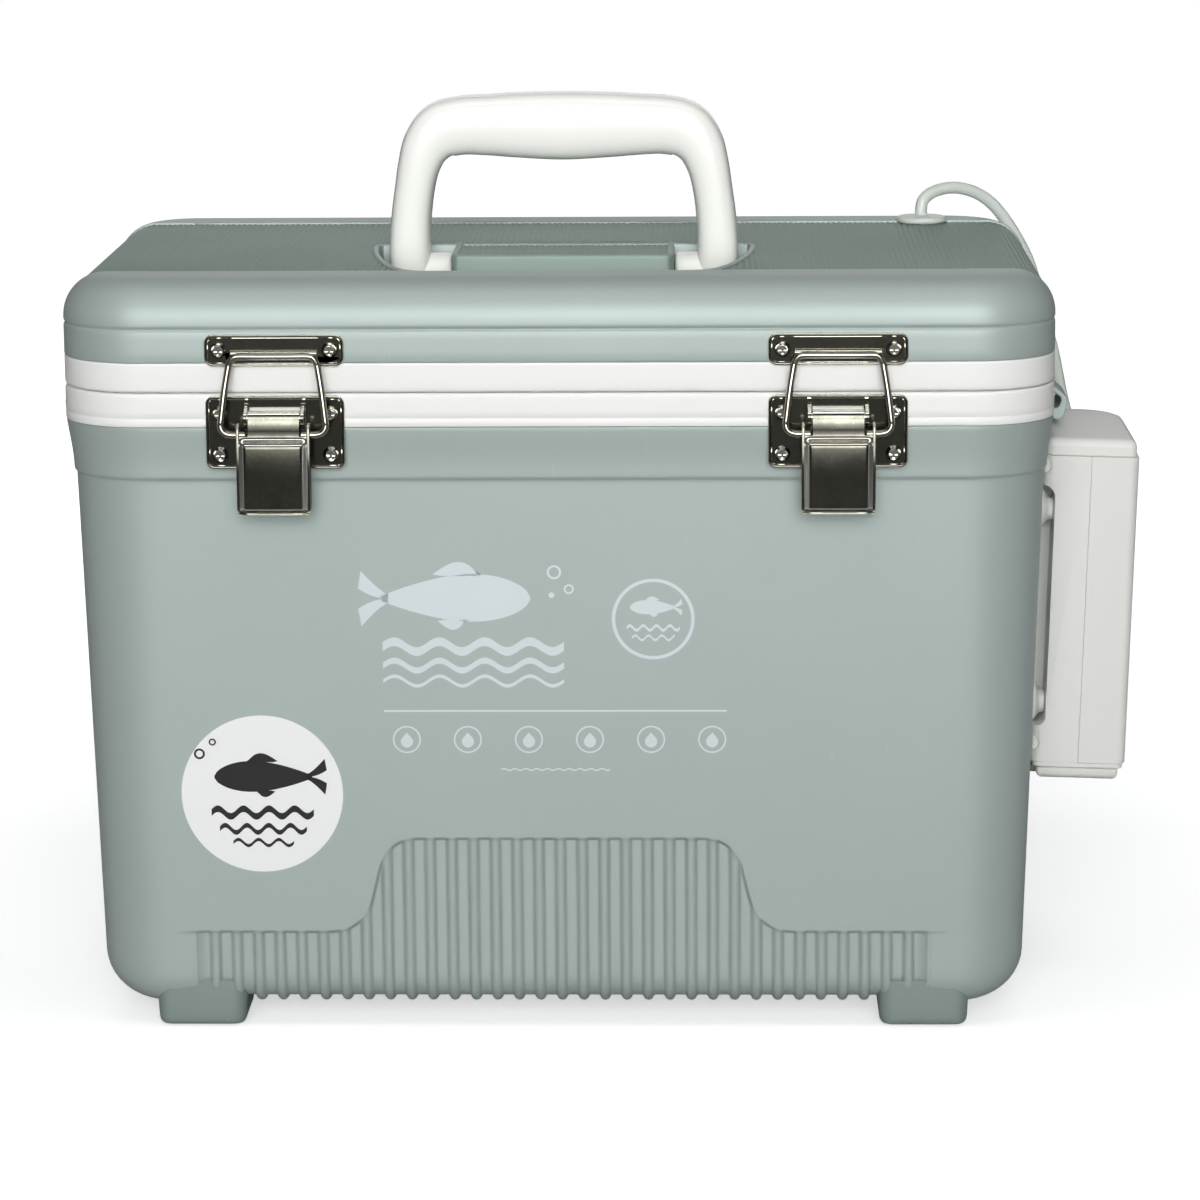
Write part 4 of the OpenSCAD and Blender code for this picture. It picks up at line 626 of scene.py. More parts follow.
band = [(3.0, 233.6), (0.55, 233.6), (0.18, 233.7), (0.02, 234.1), (0.0, 235.0), (0.0, 236.4),
        (0.16, 236.65), (0.16, 236.95), (0.0, 237.2), (0.0, 239.5), (0.0, 243.4), (0.0, 244.8), (0.1, 245.4),
        (0.35, 245.85), (0.75, 246.12), (1.3, 246.2), (6.0, 246.2)]
tank = [(19.5, 246.2), (21.0, 246.12), (21.7, 245.8), (22.0, 245.2)]
tank += [(tank_in(z), z) for z in (240, 225, 200, 160, 120, 80, 50, 42, 38)]
tank += [(tank_in(36) + 0.4, 36), (tank_in(34) + 1.3, 34), (tank_in(33) + 2.6, 32.8),
         (tank_in(32) + 4.6, 32.15), (tank_in(32) + 7, 32.0)]
band_grid = tub(rim_plan, band, half_w, half_d, rim_x, rim_y)
tank_grid = tub(tank_plan, tank, half_w, half_d, tank_x, tank_y)
seal = np.stack([band_grid[-1], tank_grid[0]])
floor_ring = tank_grid[-1]
white_finish = moulded("white liner plastic", linear(238, 238, 235), linear(228, 229, 225),
                       0.35, 1500.0, 0.46, 0.08, 0.08, 0.04)
body_liner = welded(mesh_piece("body_liner", *joined(
    (band_grid, grid_quads(len(band), rim_plan.shape[1], closed_columns=True)),
    (seal, grid_quads(2, rim_plan.shape[1], closed_columns=True)),
    (tank_grid, grid_quads(len(tank), tank_plan.shape[1], closed_columns=True)),
    disc(floor_ring)), sharp=40))
fitted(body_liner, white_finish, "inner_liner", "bucket")

# ---- Lid shell -----------------------------------------------------------------------
# The lid's outer skin is moulded in the same pearl plastic: a straight side with a thin
# groove, a full round shoulder, and a finely ridged band over the top and both shoulders.
round_r, round_z = 16.0, 272.0
lid_profile = [(3.0, 257.7), (0.6, 257.65), (0.15, 257.8), (0.0, 258.3), (0.0, 262), (0.0, 266),
               (0.0, 268.7), (0.12, 269.25), (0.45, 269.55), (0.62, 269.8), (0.62, 270.1), (0.4, 270.4),
               (0.1, 270.75), (0.0, 271.3)]
shoulder = np.sort(np.concatenate([np.linspace(0, math.pi / 2, 17), np.radians([10.2, 10.8, 11.5, 12.1])]))
lid_profile += [(round_r * (1 - math.cos(a)), round_z + round_r * math.sin(a)) for a in shoulder]
lid_profile += [(19.0, 288.0), (24.0, 288.0), (29.0, 288.0), (31.2, 288.0), (31.6, 287.93), (31.85, 287.7),
                (32.0, 287.3), (32.0, 286.8)]
fine_xs = np.linspace(44, 60, 17)
lid_xs = np.sort(np.concatenate([np.linspace(-rim_x, rim_x, 31), fine_xs, -fine_xs]))
band_edge = np.array([80.4, 80.6, 80.75, 80.9])
lid_ys = np.concatenate([[-rim_y], -band_edge[::-1], np.linspace(-79.5, 79.5, 15), band_edge, [rim_y]])
lid_plan = plan_of(rim_x, rim_y, lid_xs, lid_ys, 18)
lid_grid = tub(lid_plan, lid_profile, half_w, half_d, rim_x, rim_y)
# The ridged band is sunk across the top and down both shoulders, between the two corners.
band_sunk = 1.15
tilt = np.interp(lid_grid[..., 2], round_z + round_r * np.sin(shoulder), shoulder)
tilt = np.where(np.arange(len(lid_profile))[:, None] >= len(lid_profile) - 8, math.pi / 2, tilt)
on_band = ease((rim_y - np.abs(lid_grid[..., 1])) / 0.5) * (lid_plan[3] == 0)
on_band = on_band * ease((lid_grid[..., 2] - 274.95) / 0.4)
lid_grid[..., 0] -= np.sign(lid_grid[..., 0]) * band_sunk * on_band * np.cos(tilt)
lid_grid[..., 2] -= band_sunk * on_band * np.sin(tilt)

# The pocket's edge, from the part's own sizes, rounded at its corners.
pocket_half, pocket_back, pocket_front = 72.6, 3.35, 82.15
half_edge = np.array([[pocket_half - 2, pocket_back], [pocket_half, pocket_back - 2], [pocket_half, -6],
                      [pocket_half - 1.6, -26], [pocket_half - 4.6, -44], [pocket_half - 8.2, -60],
                      [pocket_half - 11.5, -pocket_front + 12], [pocket_half - 15, -pocket_front + 5],
                      [pocket_half - 19, -pocket_front + 1.5], [pocket_half - 24, -pocket_front]])


def rounded_loop(points, rounds):
    """Cuts the corners of a closed ring of points by quarters, rounds times."""
    for _ in range(rounds):
        after = np.roll(points, -1, axis=0)
        points = np.stack([0.75 * points + 0.25 * after, 0.25 * points + 0.75 * after], 1).reshape(-1, 2)
    return points


def even_loop(points, n):
    """The same closed ring with n points at even distances."""
    closed = np.concatenate([points, points[:1]])
    s = np.concatenate([[0], np.cumsum(np.linalg.norm(np.diff(closed, axis=0), axis=1))])
    t = np.linspace(0, s[-1], n, endpoint=False)
    return np.stack([np.interp(t, s, closed[:, 0]), np.interp(t, s, closed[:, 1])], -1)


def grown(loop, distance):
    """A clockwise or counter-clockwise ring moved outwards by distance along its normals."""
    d = np.roll(loop, -1, axis=0) - np.roll(loop, 1, axis=0)
    normal = np.stack([d[:, 1], -d[:, 0]], -1)
    normal /= np.linalg.norm(normal, axis=1, keepdims=True)
    x, y = loop.T
    area = np.sum(x * np.roll(y, -1) - y * np.roll(x, -1))
    return loop + normal * distance * np.sign(area)


pocket_loop = np.concatenate([half_edge, (half_edge * [-1, 1])[::-1]])[::-1]
pocket_loop = even_loop(rounded_loop(pocket_loop, 2), 220)
pocket_wall = [(2.3, 287.2), (2.05, 287.62), (1.6, 287.9), (1.0, 288.0), (0.5, 287.93), (0.15, 287.6),
               (0.0, 287.0), (0.0, 280), (-0.05, 272), (-0.2, 267.6), (-0.7, 265.8), (-1.7, 264.75),
               (-3.0, 264.3)]
pocket_rows = np.stack([np.column_stack([grown(pocket_loop, d), np.full(len(pocket_loop), z)])
                        for d, z in pocket_wall])
pocket_quads = grid_quads(len(pocket_wall), len(pocket_loop), closed_columns=True)[:, ::-1]
pocket_turn = np.sum(pocket_loop[:, 0] * np.roll(pocket_loop[:, 1], -1) - pocket_loop[:, 1]
                     * np.roll(pocket_loop[:, 0], -1))
pocket_floor_disc = disc(pocket_rows[-1] if pocket_turn > 0 else pocket_rows[-1][::-1])


def front_of(loop, xs):
    """The front part of a ring round the pocket as y at each x, and 0 beyond the ring's sides."""
    part = loop[loop[:, 1] < 0]
    part = part[np.argsort(part[:, 0])]
    return np.interp(xs, part[:, 0], part[:, 1], left=0.0, right=0.0)


# In front, the smooth border ends on the top of the pocket's lip.
lip_top = front_of(grown(pocket_loop, 1.0), lid_grid[..., 0])
lid_grid[..., 1] = np.where(lid_plan[3] == -1, np.minimum(lid_grid[..., 1], lip_top), lid_grid[..., 1])
lid_skin = (lid_grid, grid_quads(len(lid_profile), lid_plan.shape[1], closed_columns=True))

ridge_pitch, ridge_height = 2.2, 0.42
shoulder_start, shoulder_low = 170.0, math.radians(77.6)
ridge_r, ridge_base = 15.0, 14.95
run = shoulder_start + ridge_r * shoulder_low
ridge_s = np.arange(-round(run / ridge_pitch * 6), round(run / ridge_pitch * 6) + 1) * ridge_pitch / 6
ridge_s = ridge_s[np.abs(ridge_s) <= run]
ridge_rise = ridge_height * (0.5 + 0.5 * np.cos(2 * math.pi * ridge_s / ridge_pitch)) ** 0.8
bent = np.clip(np.abs(ridge_s) - shoulder_start, 0, None) / ridge_r
ridge_xs = np.sign(ridge_s) * (np.minimum(np.abs(ridge_s), shoulder_start) + (ridge_base + ridge_rise)
                               * np.sin(bent))
ridge_zs = round_z + (ridge_base + ridge_rise) * np.cos(bent)
band_y = 80.93
lip = grown(pocket_loop, 1.9)
beside_lip = np.abs(ridge_s) < np.abs(lip[:, 0]).max()
hole_back = np.where(beside_lip, pocket_back + 1.9, 0.0)
hole_front = np.where(beside_lip, front_of(lip, ridge_s), 0.0)
t = np.linspace(0, 1, 5)[:, None]


def ridged_strip(keep, near, away):
    """The ridged surface between the lines y = near and y = away, at the ridge columns kept."""
    y = near[keep] + (away[keep] - near[keep]) * t
    grid = np.stack(np.broadcast_arrays(ridge_xs[keep][None], y, ridge_zs[keep][None]), -1)
    return grid, grid_quads(5, int(keep.sum()))


open_front = hole_front > -band_y + 0.25
edge_y = np.full(len(ridge_s), band_y)
ridged_parts = [ridged_strip(open_front & (ridge_s < 0), -edge_y, hole_front),
                ridged_strip(open_front & (ridge_s > 0), -edge_y, hole_front),
                ridged_strip(edge_y > 0, hole_back, edge_y)]

# Block that carries the handle's pins: ridged on top, plain in front, with a bright edge.
block_half, block_front = 43.0, 34.0
block_plan = plan_of(block_half - 3, 18.0, np.linspace(-40, 40, 9), np.linspace(-18, 18, 5), 6)
block_profile = [(-2.6, 264.3), (-1.2, 264.7), (-0.4, 265.6), (0.0, 267), (0.0, 286.4), (0.12, 287.2),
                 (0.45, 287.75), (1.0, 288.0), (2.2, 288.0), (2.5, 287.85), (2.7, 287.5), (2.9, 287.2)]
block_grid = tub(block_plan, block_profile, block_half, 22.0, block_half - 3, 18.0)
block_grid[..., 1] = np.where(block_grid[..., 1] < -10, block_grid[..., 1] - (block_front - 22.0),
                              block_grid[..., 1] - 10.0)
block_skin = (block_grid, grid_quads(len(block_profile), block_plan.shape[1], closed_columns=True))
block_xs = np.linspace(-block_half + 2.6, block_half - 2.6, 36 * 6 + 1)
block_top_z = 287.1 + 0.36 * (0.5 + 0.5 * np.cos(2 * math.pi * block_xs / ridge_pitch))
block_ys = np.array([-block_front + 2.6, -25.0, -15.0, -5.0, pocket_back + 1.9])
block_top = np.stack(np.broadcast_arrays(block_xs[None], block_ys[:, None], block_top_z[None]), -1)

# The ridged band is the same pearl plastic painted darker and greener: painted shade for a top that gets
# little light.
ridged_painted_shade_finish = moulded("ridged lid top with painted shade", linear(99, 131, 113), linear(83, 115, 98), 0.4, 1200.0, 0.50, 0.10,
                        0.12, 0.08, metallic=0.25, coat=0.08, coat_rough=0.3, specular=0.4)
lid_shell = welded(mesh_piece("lid_shell", *joined(lid_skin, (pocket_rows, pocket_quads), pocket_floor_disc),
                              sharp=45))
pin_block = welded(mesh_piece("lid_pin_block", *joined(block_skin), sharp=45))
# The pin block takes a darker copy of the shell plastic: painted shade for the shadow in the pocket.
block_painted_shade_finish = moulded("pin block with painted shade", linear(140, 158, 149), linear(126, 144, 135), 0.45, 1400.0, 0.50,
                       0.08, 0.06, 0.06, metallic=0.2, coat=0.05, coat_rough=0.4, specular=0.4)
fitted(pin_block, block_painted_shade_finish, "lid_shell", "lid")
fitted(lid_shell, shell_finish, "lid_shell", "lid")
lid_panel = mesh_piece("lid_ridged_panel", *joined(
    *ridged_parts, (block_top, grid_quads(5, len(block_xs)))), sharp=80)
fitted(lid_panel, ridged_painted_shade_finish, "lid_shell", "lid")

# ---- Lid liner, rim and gasket -------------------------------------------------------
# The lid's white underside: a band that meets the body's rim, a flat face with a soft grey
# gasket set in it, and a shallow plug that dips into the tank.
lid_band = [(3.0, 257.5), (0.6, 257.55), (0.2, 257.45), (0.02, 257.1), (0.0, 256.4), (0.0, 252),
            (0.0, 249.4), (0.0, 248.2), (0.1, 247.5), (0.35, 247.0), (0.8, 246.65), (1.4, 246.5),
            (12.4, 246.5)]
plug = [(19.6, 246.5), (24.6, 246.5), (24.9, 246.3), (25.0, 245.8), (25.0, 242.6), (25.3, 241.3),
        (26.0, 240.6), (27.2, 240.25), (29, 240.2), (60.0, 240.2)]
lid_band_grid = tub(rim_plan, lid_band, half_w, half_d, rim_x, rim_y)
plug_grid = tub(tank_plan, plug, half_w, half_d, tank_x, tank_y)
plug_grid[-1] = plug_grid[-2] * [0.4, 0.4, 1.0]
seal_out = tub(rim_plan, [(12.4, 246.5), (12.7, 248.4), (19.3, 248.4), (19.6, 246.5)], half_w, half_d, rim_x,
               rim_y)
link = np.stack([seal_out[-1], plug_grid[0]])
liner_quads = lambda n, plan: grid_quads(n, plan.shape[1], closed_columns=True)[:, ::-1]
lid_liner = welded(mesh_piece("lid_liner", *joined((lid_band_grid, liner_quads(len(lid_band), rim_plan)),
                                                   (seal_out, liner_quads(4, rim_plan)),
                                                   (link, liner_quads(2, rim_plan)),
                                                   (plug_grid, liner_quads(len(plug), tank_plan)),
                                                   disc(plug_grid[-1][::-1])), sharp=40))
fitted(lid_liner, white_finish, "lid_liner", "lid")

gasket_profile = [(13.1, 248.45), (13.0, 247.2), (13.0, 246.9), (13.25, 246.6), (13.8, 246.4),
                  (14.6, 246.28), (16.0, 246.24), (17.4, 246.28), (18.2, 246.4), (18.75, 246.6),
                  (19.0, 246.9), (19.0, 247.2), (18.9, 248.45)]
gasket_grid = tub(rim_plan, gasket_profile, half_w, half_d, rim_x, rim_y)
gasket_quads = grid_quads(len(gasket_profile), rim_plan.shape[1], closed_rows=True, closed_columns=True)
gasket = mesh_piece("lid_gasket", gasket_grid, gasket_quads[:, ::-1], sharp=50)
gasket_finish = moulded("soft gasket rubber", linear(206, 208, 203), linear(186, 188, 183), 0.4, 900.0, 0.62,
                        0.06, 0.05, 0.06)
fitted(gasket, gasket_finish, "lid_gasket", "lid")

# ---- Carry handle --------------------------------------------------------------------
# A hollow bow of glossy cream-white plastic, thicker over the grip, with a round foot on
# each leg that turns on a steel pin between the block and the pocket's wall.


def smooth_path(points, per_span):
    """A Catmull-Rom curve through points, with per_span steps in each span."""
    p = np.concatenate([[2 * points[0] - points[1]], points, [2 * points[-1] - points[-2]]])
    t = np.linspace(0, 1, per_span, endpoint=False)[None, :, None]
    a, b, c, d = (p[i:len(p) - 3 + i, None, :] for i in range(4))
    q = 2 * b + (c - a) * t + (2 * a - 5 * b + 4 * c - d) * t ** 2 + (3 * b - a - 3 * c + d) * t ** 3
    q = 0.5 * q
    return np.concatenate([q.reshape(-1, points.shape[1]), points[-1:]])


bow_half = np.array([[60, -10, 15.0, 2.0], [60, -9.2, 15.6, 8.0], [60, -7, 15.9, 14.2], [60, -3.5, 16, 18.7],
                     [60, 0, 16, 20.2], [60, 6, 16, 21.2], [60, 12, 16, 21.5], [59.4, 24, 15.6, 21.5],
                     [58, 35, 15.4, 21.5], [56.2, 44, 16.4, 21.5], [53, 52, 19, 21.5],
                     [47.4, 57.6, 22, 21.5], [39.5, 59.6, 22.6, 21.5], [30, 59.8, 23.4, 21.5],
                     [18, 59.7, 25, 21.5], [0, 59.4, 26.2, 21.5]], float)
bow_line = smooth_path(np.concatenate([bow_half, (bow_half * [-1, 1, 1, 1])[-2::-1]]), 6)
pivot_y, pivot_z = -8.0, 276.0
bow_dir = np.gradient(bow_line[:, :2], axis=0)
bow_dir /= np.linalg.norm(bow_dir, axis=1, keepdims=True)
straight = ease((bow_line[:, 1] - 2) / 12)[:, None]
leg_dir = np.where(np.arange(len(bow_line))[:, None] < len(bow_line) / 2, [[0.0, 1.0]], [[0.0, -1.0]])
bow_dir = bow_dir * straight + leg_dir * (1 - straight)
a = np.linspace(0, 2 * math.pi, 44, endpoint=False)
power = lambda v: np.sign(v) * np.abs(v) ** 0.62
u = power(np.cos(a))[None] * bow_line[:, 2:3] / 2
v = power(np.sin(a))[None] * bow_line[:, 3:4] / 2
bow_points = np.stack([bow_line[:, 0:1] + u * bow_dir[:, 1:2], v + pivot_y,
                       bow_line[:, 1:2] - u * bow_dir[:, 0:1] + pivot_z], -1)
bow_ends = (disc(bow_points[0]), disc(bow_points[-1][::-1]))


def turned(profile, steps):
    """A profile of (distance along the axis, radius) turned about the X axis: points with the axis
    at y = z = 0."""
    x, r = np.asarray(profile, float).T
    b = np.linspace(0, 2 * math.pi, steps, endpoint=False)
    return np.stack(np.broadcast_arrays(x[:, None], r[:, None] * np.cos(b), r[:, None] * np.sin(b)), -1)


hub_profile = [(43.4, 3.4), (43.4, 8.6), (43.6, 9.3), (44.1, 9.75), (44.9, 9.95), (54, 9.98)]
hub = turned(hub_profile, 48) + [0, pivot_y, pivot_z]
hub_quads = grid_quads(len(hub_profile), 48, closed_columns=True)
handle_finish = moulded("cream handle plastic", linear(247, 247, 242), linear(236, 236, 229), 0.35, 1500.0,
                        0.26, 0.06, 0.10, 0.03, coat=0.35, coat_rough=0.15)
carry_handle = mesh_piece("carry_handle", *joined(
    (bow_points, grid_quads(len(bow_line), 44, closed_columns=True)), *bow_ends,
    (hub, hub_quads), (hub * [-1, 1, 1], hub_quads[:, ::-1])), sharp=55)
welded(carry_handle, recalc=True)
fitted(carry_handle, handle_finish, "carry_handle", "handle")

# ---- Draw latches --------------------------------------------------------------------
# Stamped steel latches with a dark nickel plating: a base plate and a strike plate with
# raised rims, a pressed lever that curls round its pin, and a bail of round wire.
latch_x, wall_y = 104.0, -half_d
sheet = 1.2
pin_y, pin_z = -118.4, 237.8
bail_y, bail_z = -122.4, 232.2
# The latch nickel has a near-white painted highlight on the shoulders of its pressed shapes.
nickel_finish = plated("dark nickel plate", linear(108, 107, 98), linear(64, 64, 56), 0.15, 0.12, 0.25, 0.05,
                       painted_highlight=linear(238, 236, 226))
steel_finish = plated("bright plated steel", linear(214, 212, 205), linear(160, 157, 148), 0.14, 0.12, 0.20,
                      0.06)
wire_finish = plated("warm plated wire", linear(176, 170, 158), linear(118, 112, 101), 0.13, 0.12, 0.20,
                     0.05)


def swept(path, radius, sides, side_of):
    """A closed round bar along path. side_of is a direction that the path never runs along; radius
    may be a number or one for each point."""
    path = np.asarray(path, float)
    t = np.gradient(path, axis=0)
    t /= np.linalg.norm(t, axis=1, keepdims=True)
    u = np.cross(t, np.asarray(side_of, float))
    u /= np.linalg.norm(u, axis=1, keepdims=True)
    v = np.cross(t, u)
    a = np.linspace(0, 2 * math.pi, sides, endpoint=False)
    r = np.broadcast_to(np.asarray(radius, float), (len(path),))[:, None, None]
    ring_points = path[:, None, :] + r * (u[:, None, :] * np.cos(a)[None, :, None] + v[:, None, :]
                                          * np.sin(a)[None, :, None])
    n = len(path)
    points = np.concatenate([ring_points.reshape(-1, 3), path[:1], path[-1:]])
    quads = grid_quads(n, sides, closed_columns=True)
    k = np.arange(sides)
    first = np.stack([np.full(sides, n * sides), (k + 1) % sides, k], -1)
    last = np.stack([np.full(sides, n * sides + 1), (n - 1) * sides + k, (n - 1) * sides + (k + 1) % sides],
                    -1)
    return points, quads, np.concatenate([first, last])


def flattened(piece):
    """Joins the piece's faces that lie in one plane."""
    b = bmesh.new()
    b.from_mesh(piece.data)
    bmesh.ops.dissolve_limit(b, angle_limit=math.radians(0.4), verts=b.verts, edges=b.edges)
    b.to_mesh(piece.data)
    b.free()
    return piece


def dressed(node, body, finish, width=0.3, segments=3, sharp=35):
    """The node's own mesh, merged and with rounded edges width mm wide, as a piece that stands for
    the node."""
    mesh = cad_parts[node].data.copy()
    mesh.materials.clear()
    piece = bpy.data.objects.new(node + "_dressed", mesh)
    bpy.context.scene.collection.objects.link(piece)
    flattened(welded(piece, 2e-6))
    corners = np.zeros(len(mesh.polygons), np.int32)
    mesh.polygons.foreach_get("loop_total", corners)
    mesh.polygons.foreach_set("use_smooth", corners <= 4)
    mesh.set_sharp_from_angle(angle=math.radians(sharp))
    if width:
        rounded_edge(piece, width, segments, sharp).harden_normals = True
    mesh.materials.append(finish)
    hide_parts(node)
    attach(piece, body)
    return piece


def round_rect(half_wide, half_high, r, steps=8):
    """A rounded rectangle's ring of (x, z), counter-clockwise seen from the front."""
    b = np.linspace(0, math.pi / 2, steps + 1)
    corner = np.stack([np.cos(b), np.sin(b)], -1) * r
    turns = [np.array([[c, s], [-s, c]]) for c, s in ((1, 0), (0, 1), (-1, 0), (0, -1))]
    signs = ((1, 1), (-1, 1), (-1, -1), (1, -1))
    return np.concatenate([corner @ m + [sx * (half_wide - r), sz * (half_high - r)]
                           for m, (sx, sz) in zip(turns, signs)])


def pressed_rim(centre_z, half_wide, half_high, r):
    """The raised bead that runs round a stamped plate's edge: a closed grid."""
    rows = []
    for inset, out in ((0.0, 0.6), (0.0, sheet + 0.05), (0.12, sheet + 0.32), (0.45, sheet + 0.5),
                       (0.85, sheet + 0.42), (1.3, sheet + 0.12), (1.6, sheet - 0.1)):
        loop = round_rect(half_wide - inset, half_high - inset, max(r - inset, 0.6))
        rows.append(np.column_stack([loop[:, 0], np.full(len(loop), wall_y - out), loop[:, 1] + centre_z]))
    return np.stack(rows)


def lever_front(x, z):
    """How far the pressed pad stands in front of the pin: a pillow with soft shoulders, a crowned
    middle and a lip that curls out at the foot."""
    rise = ease((231.6 - z) / 3.2)
    foot = ease((z - 203.3) / 2.2)
    side = ease((13.5 - np.abs(x)) / 3.4)
    dome = 1 - 0.10 * ((z - 216.0) / 12.0) ** 2 - 0.05 * (x / 10.0) ** 2
    lip = 0.9 * ease((204.4 - z) / 1.6)
    return 5.35 + 4.0 * rise * (0.18 + 0.82 * foot) * (0.30 + 0.70 * side) * dome + lip


pad_x = np.concatenate([[-13.6, -13.55], np.linspace(-13.35, -9.6, 9), np.linspace(-8.4, 8.4, 9),
                        np.linspace(9.6, 13.35, 9), [13.55, 13.6]])
pad_z = np.concatenate([[202.8, 203.1], np.linspace(203.5, 206.6, 8), np.linspace(208, 226, 9),
                        np.linspace(227.6, 231.8, 9)])
pad_front = pin_y - lever_front(pad_x[None], pad_z[:, None])
narrow = np.clip((pad_z - 204.4) / 1.2, -1, 0)[:, None]
pad_points = np.stack(np.broadcast_arrays(pad_x[None] * (1 + 0.05 * narrow), pad_front, pad_z[:, None]), -1)
pad_sides = [np.stack([np.column_stack([np.full(len(pad_z), s * 13.6), np.full(len(pad_z), y), pad_z])
                       for y in ys], 1) for s, ys in ((-1, (-121.0, -122.6, -123.4)),
                                                      (1, (-123.4, -122.6, -121.0)))]
pad_points = np.concatenate([pad_sides[0], pad_points, pad_sides[1]], axis=1)
web_path = [(2.15, -1.5), (2.6, -0.4), (2.85, 0.6)] + [(2.9 * math.cos(b), 2.9 * math.sin(b))
                                                       for b in np.linspace(0.35, math.pi, 14)]
web_path += [(-3.0, -0.8), (-3.5, -2.3), (-4.3, -4.1), (-5.0, -5.5), (-5.35, -6.6), (-5.4, -8.0)]
web_y, web_z = np.array(web_path).T
web_x = np.array([-9.5, -9.2, -6.0, 0.0, 6.0, 9.2, 9.5])
web_points = np.stack(np.broadcast_arrays(web_x[None], pin_y + web_y[:, None], pin_z + web_z[:, None]), -1)
cheek_ring = np.array([[-6.9, -4.6], [-6.2, -2.2], [-4.6, -1.3], [-2.4, -1.4], [-1.0, -2.4], [-1.0, -12],
                       [-3, -31], [-4.4, -33.6], [-6.6, -33.6], [-6.9, -32]])[::-1]
cheek_ring = cheek_ring + [pin_y, pin_z]

for side, sx in (("left", -1), ("right", 1)):
    shift = [sx * latch_x, 0, 0]
    dressed("latch_base_" + side, "bucket", nickel_finish, 0.25)
    dressed("latch_strike_" + side, "lid", nickel_finish, 0.25)
    dressed("latch_pin_" + side, "bucket", steel_finish, 0.2)
    for name, body, node, z, half_h, r in (("base_rim_", "bucket", "latch_base_", 231.9, 13.7, 3.0),
                                           ("strike_rim_", "lid", "latch_strike_", 262.5, 6.0, 3.3)):
        bead_grid = pressed_rim(z, 25.8, half_h, r) + shift
        bead_quads = grid_quads(*bead_grid.shape[:2], closed_columns=True)
        bead = mesh_piece(name + side, bead_grid, bead_quads, sharp=60)
        welded(bead)
        fitted(bead, nickel_finish, node + side, body)
    lever = mesh_piece("lever_" + side, *joined((pad_points + shift, grid_quads(*pad_points.shape[:2])),
                                                (web_points + shift,
                                                 grid_quads(*web_points.shape[:2])[:, ::-1])), sharp=60)
    thick = lever.modifiers.new("sheet", "SOLIDIFY")
    thick.thickness, thick.offset = 0.9 * MM, -1.0
    rounded_edge(lever, 0.28, 3, 50)
    fitted(lever, nickel_finish, "latch_lever_" + side, "lever_" + side)
    cheeks = welded(mesh_piece("lever_cheeks_" + side, *joined(
        prism_x(cheek_ring, sx * latch_x + 12.45, sx * latch_x + 13.6),
        prism_x(cheek_ring, sx * latch_x - 13.6, sx * latch_x - 12.45)), sharp=40), recalc=True)
    rounded_edge(cheeks, 0.3, 3, 40)
    fitted(cheeks, nickel_finish, "latch_lever_" + side, "lever_" + side)

bail_bar_y, bail_top = -118.55, 260.8
bail_half = np.array([[10.4, bail_y, bail_z], [12.4, bail_y, bail_z], [15.4, bail_y, bail_z],
                      [17.7, bail_y, bail_z + 0.55], [19.0, bail_y + 0.1, bail_z + 1.9],
                      [19.4, bail_y + 0.3, bail_z + 3.6], [19.15, bail_y + 0.5, bail_z + 6.0],
                      [17.9, bail_y + 2.0, bail_z + 16.0], [16.5, bail_bar_y - 0.1, bail_top - 4.2],
                      [16.1, bail_bar_y, bail_top - 2.6], [15.0, bail_bar_y, bail_top - 0.75],
                      [13.0, bail_bar_y, bail_top], [6.0, bail_bar_y, bail_top]])
bail_line = smooth_path(np.concatenate([bail_half * [-1, 1, 1], bail_half[::-1]]), 6)
for side, sx in (("left", -1), ("right", 1)):
    bail = mesh_piece("bail_" + side, *swept(bail_line + [sx * latch_x, 0, 0], 1.3, 18, [0, 1, 0]), sharp=60)
    fitted(bail, wire_finish, "latch_bail_" + side, "bail_" + side)
dressed("latch_base_screws", "bucket", steel_finish, 0.22)
dressed("latch_strike_screws", "lid", steel_finish, 0.22)

# ---- Hinges --------------------------------------------------------------------------
# Two plain butt hinges of plated steel on the rear, each with five knuckles on a pin and
# two cross-head screws in each leaf. The carry handle's two pins are of the same steel.
for side in ("left", "right"):
    dressed("hinge_body_leaf_" + side, "bucket", steel_finish, 0.25)
    dressed("hinge_lid_leaf_" + side, "lid", steel_finish, 0.25)
dressed("hinge_pins", "bucket", steel_finish, 0.3)
dressed("hinge_screws_body", "bucket", steel_finish, 0.22)
dressed("hinge_screws_lid", "lid", steel_finish, 0.22)
dressed("handle_pins", "lid", steel_finish, 0.2)

# ---- Grommet and air stone -----------------------------------------------------------
# A soft clear-grey grommet seals the hose where it passes the lid. The stone is a cylinder
# of blue-grey bonded grit on a short plastic stem.


def lathe(profile, steps):
    """A profile of (radius, z) turned about the Z axis: points and quads, outward where the profile
    goes up its outside."""
    r, z = np.asarray(profile, float).T
    b = np.linspace(0, 2 * math.pi, steps, endpoint=False)
    points = np.stack(np.broadcast_arrays(r[:, None] * np.cos(b), r[:, None] * np.sin(b), z[:, None]), -1)
    return points, grid_quads(len(r), steps, closed_columns=True)


